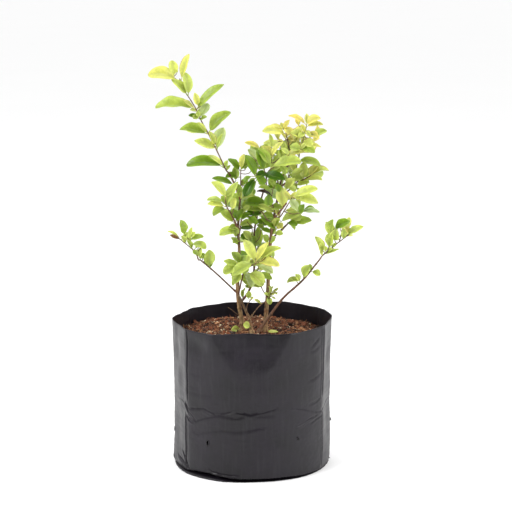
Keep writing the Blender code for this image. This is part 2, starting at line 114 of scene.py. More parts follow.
Limb = namedtuple("Limb", "name parent from_height points foot_radius tip_radius")
Mass = namedtuple("Mass", "name limb height tip spread nodes leaf twigs tones seed step bow",
                  defaults=(90, (0, 0, 0)))
Route = namedtuple("Route", "points foot_along")
Leaf = namedtuple("Leaf", "root along upper length width arch age stem")
Twig = namedtuple("Twig", "route foot tip")

LIMBS = (
    Limb("stem_left", None, None,
         ((-11, 0, 170), (-18, 0, 220), (-16, 2, 273), (-17.5, 3, 299), (-14, 5, 346)), 3.0, 1.2),
    Limb("stem_right", None, None,
         ((16, -10, 170), (19.5, -6, 215), (22, -2, 263), (24.5, 0, 297), (31.5, 3, 335),
          (36.5, 5, 360), (47, 5, 384)), 2.9, 1.1),
    Limb("stem_right_low", None, None,
         ((7, -18, 170), (24, -18, 195), (40, -17, 216), (64, -15, 238), (86, -12, 265)),
         1.9, 1.0),
    Limb("stem_twin", None, None,
         ((0, -20, 170), (-3, -12, 186), (-9, -7, 199), (-13.5, -4.5, 210)), 2.2, 1.2),
    Limb("stem_centre", "stem_left", 203,
         ((-3, 6, 220), (2.5, 10, 245), (4, 12, 275), (3, 12, 296), (12, 6, 338), (17, 4, 354)),
         1.5, 1.0),
    Limb("bough_left_low", "stem_left", 217,
         ((-45, -8, 245), (-65, -12, 263)), 1.1, 0.9),
    Limb("bough_front_low", "stem_left", 214,
         ((-12.5, -12, 239), (-9, -26, 254)), 1.1, 0.9),
    Limb("bough_left_side", "stem_left", 299,
         ((-23, -5, 314), (-28, -10, 325)), 1.3, 1.0),
    Limb("bough_long", "stem_left", 338,
         ((-22, 3, 357), (-29, 0, 371)), 1.3, 1.1),
    Limb("bough_right_front", "stem_right", 312,
         ((38, -9, 327), (43, -15, 335)), 1.2, 0.9),
    Limb("bough_right_low", "stem_right", 286,
         ((36, 6, 297), (46, 9, 306)), 1.1, 0.9),
    Limb("bough_right_mid", "stem_right", 352,
         ((48, 10, 360), (56, 13, 364)), 1.2, 0.9),
    Limb("bough_back_left", "stem_left", 288,
         ((-14, 20, 303), (-12, 34, 318)), 1.2, 0.9),
    Limb("bough_back_right", "stem_right", 292,
         ((33, 20, 309), (38, 36, 324)), 1.2, 0.9),
    Limb("bough_back_top", "stem_right", 338,
         ((33, 20, 354), (30, 32, 368)), 1.2, 0.9),
)


def closing(count):
    """Shares along a shoot for its leaf pairs, closer together towards its tip, each of full size."""
    return tuple((0.14 + 0.845 * (k / count) ** 0.85, 1.0) for k in range(count + 1))


LONG_SHOOT = (
    (0.05, 1.10), (0.25, 0.65), (0.41, 0.92), (0.64, 0.40), (0.71, 1.30), (0.97, 1.20), (1.00, 0.80),
)

# Each mass: its name, its limb and how high it leaves it, its tip, its reach, its leaf pairs, its leaves'
# length, its side twigs, how dark or yellow it is at its foot and its tip from 0 to 6, its seed, and where
# they differ from the usual, its turn from pair to pair in degrees and how far its stem bows out
MASSES = tuple(Mass(*row) for row in (
    ("long_shoot", "bough_long", None, (-85, -19, 488), 54, LONG_SHOOT, 45, 0, (1.9, 4.9), 245, 0, (0, 4, 0)),
    ("top_right", "stem_right", None, (63, 2, 415), 44, closing(4), 43, 3, (3.6, 5.5), 379, 90, (2, 0, 4)),
    ("right_low_tip", "stem_right_low", None, (116, -8, 298), 30, closing(4), 28, 2, (2.2, 4.0), 302,
     60, (0, 0, 2)),
    ("left_low_tip", "bough_left_low", None, (-84, -12, 296), 27, closing(4), 27, 2, (1.8, 3.2), 450,
     60, (2, 0, -2)),
    ("front_low", "bough_front_low", None, (8, -37, 274), 38, closing(3), 41, 2, (2.0, 4.7), 174,
     90, (0, -2, 4)),
    ("left_side", "bough_left_side", None, (-25, -25, 344), 38, closing(3), 39, 2, (1.6, 4.0), 13),
    ("left_top", "stem_left", None, (4, 10, 384), 34, closing(2), 41, 1, (0.6, 1.8), 708),
    ("centre", "stem_centre", None, (31, -12, 379), 44, closing(3), 48, 3, (0.4, 2.6), 849, 90, (-4, 0, 4)),
    ("right_mid", "bough_right_mid", None, (63, 2, 368), 38, closing(3), 34, 2, (1.6, 4.6), 818,
     90, (0, 0, 2)),
    ("right_front", "bough_right_front", None, (56, -35, 334), 38, closing(3), 34, 1, (2.8, 4.6), 900,
     90, (0, 0, 2)),
    ("right_low", "bough_right_low", None, (55, 13, 318), 34, closing(2), 36, 1, (0.9, 1.8), 142),
    ("top_left", "stem_right", 372, (32, 12, 409), 38, closing(3), 38, 1, (3.0, 4.8), 85, 90, (0, 0, 4)),
    ("middle", "stem_centre", 270, (8, -13, 328), 36, closing(3), 39, 2, (0.6, 2.2), 812),
    ("middle_left", "stem_left", 262, (-16, -11, 294), 32, closing(2), 32, 1, (0.9, 2.0), 353),
    ("inner_right", "stem_right", 322, (12, -25, 341), 34, closing(2), 40, 1, (0.8, 2.4), 783),
    ("left_low", "bough_left_low", 246, (-57, -10, 261), 26, closing(1), 24, 0, (1.8, 2.6), 435),
    ("right_low_side", "stem_right_low", 234, (66, -27, 245), 24, closing(1), 21, 0, (2.4, 3.6), 659),
    ("front_left", "stem_left", 238, (-14, -20, 248), 28, closing(2), 30, 0, (1.6, 3.2), 897),
    ("low_middle", "stem_centre", 216, (11, -4, 247), 20, closing(2), 18, 0, (2.2, 3.6), 363),
    ("low_right", "stem_right", 204, (24, -16, 221), 20, closing(2), 15, 0, (2.2, 3.8), 513),
    ("foot", "stem_right", 184, (-8, -25, 223), 20, closing(2), 16, 0, (2.4, 4.0), 796),
    ("back_left", "bough_back_left", None, (-14, 50, 325), 38, closing(3), 34, 1, (0.9, 2.6), 318,
     90, (0, 2, 0)),
    ("back_right", "bough_back_right", None, (48, 43, 363), 38, closing(3), 28, 1, (1.2, 3.4), 421,
     90, (0, 2, 0)),
    ("back_top", "bough_back_top", None, (45, 40, 400), 36, closing(3), 29, 1, (2.2, 4.4), 403,
     90, (0, 2, 0)),
    ("back_low", "stem_centre", 258, (-3, 39, 275), 32, closing(2), 25, 1, (0.8, 2.0), 65, 90, (0, 2, 0)),
))


def spline(points, step):
    """A smooth curve through the points, as points about one step apart."""
    ends = [points[0] * 2 - points[1], *points, points[-1] * 2 - points[-2]]
    fine = []
    for a, b, c, d in zip(ends, ends[1:], ends[2:], ends[3:]):
        for i in range(12):
            t = i / 12
            fine.append(0.5 * (2 * b + (c - a) * t + (2 * a - 5 * b + 4 * c - d) * t**2
                               + (3 * b - a - 3 * c + d) * t**3))
    fine.append(points[-1])
    return resample(fine, step)


def resample(route, step):
    lengths = [(b - a).length for a, b in zip(route, route[1:])]
    count = max(2, round(sum(lengths) / step))
    spacing = sum(lengths) / count
    even, walked, i = [route[0].copy()], 0.0, 0
    for k in range(1, count):
        while walked + lengths[i] < k * spacing:
            walked += lengths[i]
            i += 1
        even.append(route[i].lerp(route[i + 1], (k * spacing - walked) / lengths[i]))
    even.append(route[-1].copy())
    return even


def at_share(route, share):
    """The point and the direction at a share of a route's points."""
    place = min(max(share, 0.0), 0.9999) * (len(route) - 1)
    i = int(place)
    return route[i].lerp(route[i + 1], place - i), (route[i + 1] - route[i]).normalized()


def at_height(route, height):
    for a, b in zip(route, route[1:]):
        if a.z <= height <= b.z:
            return a.lerp(b, (height - a.z) / (b.z - a.z))
    return route[-1]


def nearest(route, point):
    """The distance from a point to a route, and how far along the route that is, from 0 to 1."""
    best = (math.inf, 0.0)
    for i, (a, b) in enumerate(zip(route, route[1:])):
        run = b - a
        t = min(1.0, max(0.0, (point - a).dot(run) / run.length_squared))
        best = min(best, ((point - a - run * t).length, (i + t) / (len(route) - 1)))
    return best


def cut_clear(points, radius, step, parent, parent_points):
    """Drops the start of a route until its first ring stands a gap clear of the parent limb."""
    fine = resample(points, 0.0002)
    for i in range(len(fine) - 3):
        along = (fine[i + 3] - fine[i]).normalized()
        clear = True
        for corner in ring_round(fine[i], along, radius, LIMB_SIDES):
            distance, share = nearest(parent_points, corner)
            thick = (parent.foot_radius + (parent.tip_radius - parent.foot_radius) * share) * MM
            clear = clear and distance >= thick * NODE_SWELL + GAP
        if clear:
            return Route(resample(fine[i:], step), along)
    return Route(fine[-2:], along)


def ring_round(centre, along, radius, sides, side=None):
    across = side or along.cross(Vector((0.0, 1.0, 0.0)))
    across = (across - along * across.dot(along)).normalized()
    over = along.cross(across)
    ring = []
    for i in range(sides):
        turn = 2 * math.pi * i / sides
        ring.append(centre + (across * math.cos(turn) + over * math.sin(turn)) * radius)
    return ring


def loft(rings):
    """Points and faces of a closed skin through rings of equal count, with a flat cap at each end."""
    count = len(rings[0])
    points = [p for ring in rings for p in ring]
    faces = [tuple(range(count))[::-1]]
    for ring in range(len(rings) - 1):
        for i in range(count):
            a = ring * count + i
            b = ring * count + (i + 1) % count
            faces.append((a, b, b + count, a + count))
    faces.append(tuple(range(len(points) - count, len(points))))
    return points, faces


def tube(route, radii, sides):
    """Points and faces of a round limb along a route, one radius a point."""
    points = route.points
    rings = [ring_round(points[0], route.foot_along, radii[0], sides)]
    for i in range(1, len(points)):
        along = (points[min(len(points) - 1, i + 1)] - points[i - 1]).normalized()
        rings.append(ring_round(points[i], along, radii[i], sides))
    return loft(rings)


def limb_radii(limb, points):
    """Taper from foot to tip, a swelling at every other ring and a flare at the soil."""
    radii = []
    for i, point in enumerate(points):
        share = i / (len(points) - 1)
        radius = (limb.foot_radius + (limb.tip_radius - limb.foot_radius) * share) * MM
        if i % 2 and i < len(points) - 1:
            radius *= NODE_SWELL
        if limb.parent is None:
            radius *= 1 + ROOT_FLARE * math.exp(-(point - points[0]).length / ROOT_FLARE_LENGTH)
        radii.append(radius)
    return radii


def limb_named(name):
    return next(limb for limb in LIMBS if limb.name == name)


def limb_routes():
    """The middle line of each limb, by name."""
    routes = {}
    for limb in LIMBS:
        points = [Vector(p) * MM for p in limb.points]
        if limb.parent is None:
            points[0] += UP * GAP
            even = spline(points, LIMB_STEP)
            flare_top = even[0].lerp(even[1], 0.35)
            routes[limb.name] = Route([even[0], flare_top, *even[1:]], UP)
        else:
            parent = routes[limb.parent].points
            start = at_height(parent, limb.from_height * MM)
            routes[limb.name] = cut_clear(
                spline([start, *points], LIMB_STEP), limb.foot_radius * MM, LIMB_STEP,
                limb_named(limb.parent), parent)
    return routes


def twin_cut(routes):
    """The twin stem stops a gap short of the left stem, which it grows against."""
    twin = routes["stem_twin"]
    back = cut_clear(twin.points[::-1], limb_named("stem_twin").tip_radius * MM, LIMB_STEP,
                     limb_named("stem_left"), routes["stem_left"].points)
    return Route([twin.points[0], *back.points[-2::-1]], UP)


def leaf_frame(leaf, share):
    """The middle line's point, its direction and its upward side at a share of a leaf's length."""
    across = leaf.along.cross(leaf.upper).normalized()
    upper = across.cross(leaf.along).normalized()
    turn = leaf.arch * share
    middle = (leaf.root + leaf.along * (leaf.length * math.sin(turn) / leaf.arch)
              - upper * (leaf.length * (1 - math.cos(turn)) / leaf.arch))
    over = upper * math.cos(turn) + leaf.along * math.sin(turn)
    ahead = leaf.along * math.cos(turn) - upper * math.sin(turn)
    return middle, ahead, over, across


def leaf_shape(leaf, more=0.0):
    """Points and faces of the source's plain leaf, which tells what a fine leaf would touch."""
    points = []
    sections = ((0.0, LEAF_ROOT_HALF_WIDTH / (leaf.width / 2)), *LEAF_SECTIONS, (1.0, 0.0))
    for share, broad in sections:
        middle, ahead, over, across = leaf_frame(leaf, share)
        if broad == 0.0:
            points.append(middle + ahead * more)
            continue
        side = across * (leaf.width / 2 * broad + more)
        top = middle + over * (LEAF_THICK / 3 + more)
        keel = middle - over * (LEAF_THICK * 2 / 3 + more)
        points += [top - side, top + side, keel]
    faces = [(0, 1, 2)]
    for first in (0, 3):
        for i in range(3):
            a, b = first + i, first + (i + 1) % 3
            faces += [(a, b + 3, b), (a, a + 3, b + 3)]
    faces += [(6, 9, 7), (7, 9, 8), (8, 9, 6)]
    return points, faces


def tree_of(points, faces):
    """A test tree, with the middle and the reach of its points for a quick first look."""
    middle = sum(points, Vector()) / len(points)
    reach = max((p - middle).length for p in points)
    return BVHTree.FromPolygons(points, faces), middle, reach


def touches(one, others):
    tree, middle, reach = one
    for other, centre, far in others:
        if (middle - centre).length < reach + far and tree.overlap(other):
            return True
    return False


class Space:
    """The long round space that one mass keeps to, from behind its foot to past its tip."""

    def __init__(self, foot, tip, spread):
        self.middle = (foot + tip) / 2
        self.along = (tip - foot).normalized()
        self.half_length = (tip - foot).length / 2 + spread * 0.85
        self.spread = spread

    def holds(self, points):
        for point in points:
            away = point - self.middle
            run = away.dot(self.along)
            out = (away - self.along * run).length
            if (run / self.half_length) ** 2 + (out / self.spread) ** 2 > 1.0:
                return False
        return True


def new_leaf(draw, root, stem, bearing, opening, length, age):
    """A leaf that leaves the stem's direction by the opening angle, towards the bearing."""
    opening = math.radians(opening)
    along = (stem * math.cos(opening) + bearing * math.sin(opening) + UP * LEAF_LIFT).normalized()
    front = Vector((0, 1, 0)) if root.y > BACK_BEGINS else Vector((0, -1, 0))
    light = stem * 0.35 + UP * LIGHT_FROM_TOP + front * LIGHT_FROM_FRONT
    light += Vector((draw.uniform(-1, 1), draw.uniform(-1, 1), draw.uniform(-1, 1))) * 0.45
    upper = (light - along * light.dot(along)).normalized()
    return Leaf(root, along, upper, length, length * draw.uniform(*LEAF_SLIMNESS),
                math.radians(draw.uniform(*LEAF_ARCH)), age, stem)


def shoot_leaves(draw, route, nodes, size, turn, step):
    """Yields tries for each leaf of a shoot: its pairs, and a last young pair that closes its tip."""
    first, last = nodes[0][0], nodes[-1][0]
    for node, vigour in nodes:
        age = (node - first) / (last - first)
        root, stem = at_share(route, node + draw.uniform(-0.02, 0.02) * (age < 1))
        side = (RIGHT - stem * stem.x).normalized()
        over = stem.cross(side)
        grown = size * vigour * (1 - (1 - YOUNG_LEAF) * age**2) * draw.uniform(0.88, 1.12)
        spread = LEAF_OPENING[0] + (LEAF_OPENING[1] - LEAF_OPENING[0]) * age
        if age == 1:
            spread = TIP_OPENING
        for half in (0, 180):
            tries = []
            for k_try in range(LEAF_TRIES):
                loose = 7 + 9 * k_try
                angle = math.radians(turn + half + draw.uniform(-loose, loose))
                bearing = side * math.cos(angle) + over * math.sin(angle)
                opening = spread + draw.uniform(-loose, loose) * 0.8
                length = grown * draw.uniform(0.9, 1.1) * (1 - 0.05 * k_try)
                tries.append(new_leaf(draw, root, stem, bearing, opening, length, age))
            yield tries
        turn += step + draw.uniform(-12, 12)


def grow(mass, stem, obstacles):
    """The twigs and leaves of one mass, by the source's own seeded draws."""
    draw = random.Random(mass.seed)
    tip = Vector(mass.tip) * MM
    space = Space(stem.points[0], tip, mass.spread * MM)
    twigs = [Twig(stem, TWIG_FOOT_RADIUS, TWIG_TIP_RADIUS)]
    blades = []
    leaves = []

    def place(route, nodes, size, turn, step):
        for tries in shoot_leaves(draw, route.points, nodes, size, turn, step):
            for leaf in tries:
                points, faces = leaf_shape(leaf, GAP)
                if not space.holds(points[3:]):
                    continue
                if touches(tree_of(points, faces), obstacles):
                    continue
                blade = tree_of(points, faces[STALK_FACES:])
                if touches(blade, blades):
                    continue
                leaves.append(leaf)
                blades.append(blade)
                break

    place(stem, mass.nodes, mass.leaf * MM, draw.uniform(-45, 45), mass.step)
    for k in range(mass.twigs):
        share = 0.12 + 0.62 * (k + 0.5) / mass.twigs
        for _ in range(LEAF_TRIES):
            root, along = at_share(stem.points, share + draw.uniform(-0.06, 0.06))
            angle = math.radians(137.5 * k + draw.uniform(-50, 50))
            side = (RIGHT - along * along.x).normalized()
            bearing = side * math.cos(angle) + along.cross(side) * math.sin(angle)
            heading = (along * 0.72 + bearing * 0.7 + UP * 0.12).normalized()
            length = mass.spread * MM * draw.uniform(0.5, 0.75)
            middle = root + heading * length * 0.55
            end = root + (heading + along * 0.22).normalized() * length
            route = Route(spline([root, middle, end], TWIG_STEP), heading)
            tree = tree_of(*twig_shape(route, TWIG_FOOT_RADIUS, TWIG_TIP_RADIUS, GAP))
            if space.holds(route.points) and not touches(tree, obstacles) and not touches(tree, blades):
                twigs.append(Twig(route, TWIG_FOOT_RADIUS * SIDE_TWIG_SHARE, TWIG_TIP_RADIUS))
                place(route, SIDE_TWIG_NODES, mass.leaf * MM * 0.85, draw.uniform(0, 180), mass.step)
                break
    return twigs, leaves


def twig_shape(route, foot, tip, more=0.0):
    last = len(route.points) - 1
    radii = [foot + (tip - foot) * i / last + more for i in range(last + 1)]
    return tube(route, radii, TWIG_SIDES)


def mass_route(mass, routes):
    """The mass's own stem, from a gap past its limb's tip or side to the mass's tip."""
    route = routes[mass.limb].points
    tip, bow = Vector(mass.tip) * MM, Vector(mass.bow) * MM
    if mass.height is None:
        heading = (route[-1] - route[-2]).normalized()
        foot = route[-1] + heading * GAP
        return Route(spline([foot, foot.lerp(tip, 0.5) + bow, tip], TWIG_STEP), heading)
    start = at_height(route, mass.height * MM)
    whole = spline([start, start.lerp(tip, 0.5) + bow, tip], TWIG_STEP)
    return cut_clear(whole, TWIG_FOOT_RADIUS, TWIG_STEP, limb_named(mass.limb), route)


def grown_masses(routes, limb_shapes):
    """Grows the masses one after another, each clear of the limbs and of those before it."""
    stems = {mass.name: mass_route(mass, routes) for mass in MASSES}
    stem_trees = {}
    for name, route in stems.items():
        stem_trees[name] = tree_of(*twig_shape(route, TWIG_FOOT_RADIUS, TWIG_TIP_RADIUS, GAP))
    fixed = [tree_of(*shape) for shape in limb_shapes]
    done = []
    grown = {}
    for mass in MASSES:
        others = [tree for name, tree in stem_trees.items() if name != mass.name]
        twigs, leaves = grow(mass, stems[mass.name], fixed + others + done)
        grown[mass.name] = twigs, leaves
        done += [tree_of(*leaf_shape(leaf)) for leaf in leaves]
        done += [tree_of(*twig_shape(*twig)) for twig in twigs]
    return grown


# What shows at the front and round the outline. A place is told as it is seen: x and y in
# picture points from the picture's top left corner, and how far behind the bag's middle in mm.
SEEN_TWIGS = {
    "long_shoot": (
        ((226, 170, 0), (221, 160, -1), (216.7, 150, -3), (211.6, 140, -5), (207.5, 131.8, -7),
         (201.4, 121.6, -9), (195.3, 108.4, -12), (190.2, 99.2, -14), (184, 90, -16), (179.5, 79, -18)),
        ((196.5, 109, -12), (201, 105, -14), (205.3, 101, -16)),
        ((180, 80, -18), (176, 79.5, -19), (173.5, 76, -19)),
    ),
    "top_right": (
        ((298, 160, 5), (300, 150, 5), (302.5, 141, 4), (305, 132, 3), (306.5, 124, 2)),
        ((302.5, 141, 4), (300, 147, 0), (301, 150, -2)),
    ),
    "top_left": (
        ((291, 163, 6), (289.5, 150, 8), (287, 138, 9), (284, 128, 9)),
        ((290, 157, 7), (284, 157, 3), (280, 158, 1)),
        ((272, 163, 0), (271.5, 155, 2), (272, 148, 3)),
        ((271, 160, 0), (264, 155, 4), (260, 148, 6)),
        ((266, 160, 2), (261, 161, 3), (257, 160, 4)),
    ),
    "centre": (
        ((266, 187, 4), (266, 179, 0), (268.6, 171, -6), (277.8, 164, -11), (289.7, 154, -13)),
        ((266, 187, 4), (261, 181, -3), (256, 176.5, -10)),
        ((266, 179, 0), (264.5, 171, -8)),
    ),
    "left_top": (
        ((240.5, 196, 5), (241, 184, 5), (241, 171, 4)),
    ),
    "left_side": (
        ((229, 211, -10), (226, 205, -14), (225.5, 197, -18)),
        ((232, 214, -9), (233, 208, -13), (232, 203, -15)),
    ),
    "right_mid": (
        ((297, 181, 13), (303, 179.5, 9), (311, 175, 4)),
        ((297, 181, 13), (297, 170, 10), (298, 161, 7)),
        ((297, 181, 13), (291, 182, 8), (286, 188, 2)),
    ),
    "right_front": (
        ((279, 218, 0), (285, 210, -10), (292, 197, -18)),
        ((285, 212, -9), (293, 214, -13), (300, 213, -16)),
    ),
    "right_low": (
        ((281, 231.4, 2), (288.6, 223.6, 6), (293, 221.5, 10)),
    ),
    "front_low": (
        ((244.3, 270, -25), (249.4, 267, -29), (255.5, 263.5, -34)),
        ((244.3, 270, -25), (240, 266.5, -27), (237, 264, -28)),
        ((247, 269, -27), (248, 272, -30)),
    ),
    "left_low_tip": (
        ((198.7, 259.4, -12), (195.6, 252.5, -12), (192.5, 249.4, -12), (183, 241.4, -12),
         (179, 238.3, -12)),
        ((191, 248, -12), (189.5, 243, -14), (189, 239, -15)),
    ),
    "right_low_tip": (
        ((322.5, 256, -12), (333.4, 246, -12), (341, 240.8, -11), (350, 234, -10), (354, 231.6, -10)),
        ((327, 251.5, -12), (329.5, 243, -14), (330.5, 232, -15)),
        ((339, 242, -11), (341, 235, -13), (343, 231, -14)),
    ),
    "low_middle": (
        ((252.5, 286, 4), (256.5, 272, 0), (260.5, 263, 2), (263.5, 254, 4), (266, 246, 6)),
    ),
    "low_right": (
        ((267, 296, -11), (263.5, 290.5, -15), (260.5, 286, -18)),
        ((268.5, 296, -10), (271, 293, -13), (270.5, 288.5, -14)),
    ),
    "foot": (
        ((249.5, 320, -20), (254, 312, -18), (259.5, 306, -15), (265.5, 301, -12)),
        ((246.5, 312, -12), (247.3, 305.5, -12), (249.3, 301, -13), (252.5, 298.7, -14)),
        ((238, 314.5, -3), (232, 310.5, -6), (227.8, 307.2, -8)),
        ((243.5, 300, -6), (243.2, 294, -8), (242.5, 289.5, -9)),
    ),
    "middle": (
        ((266, 206, 6), (259, 213, 0), (252, 217, -4)),
        ((252, 236, 10), (252, 228, 4), (247, 222, -2)),
        ((254, 243, 10), (259, 238, 6), (261, 230, 2)),
    ),
    "inner_right": (
        ((271, 222, -2), (266, 219, -6), (262, 212, -9)),
        ((276, 213, 0), (273, 206, -5), (271, 199, -8), (272, 194, -8), (274, 186, -6)),
    ),
}
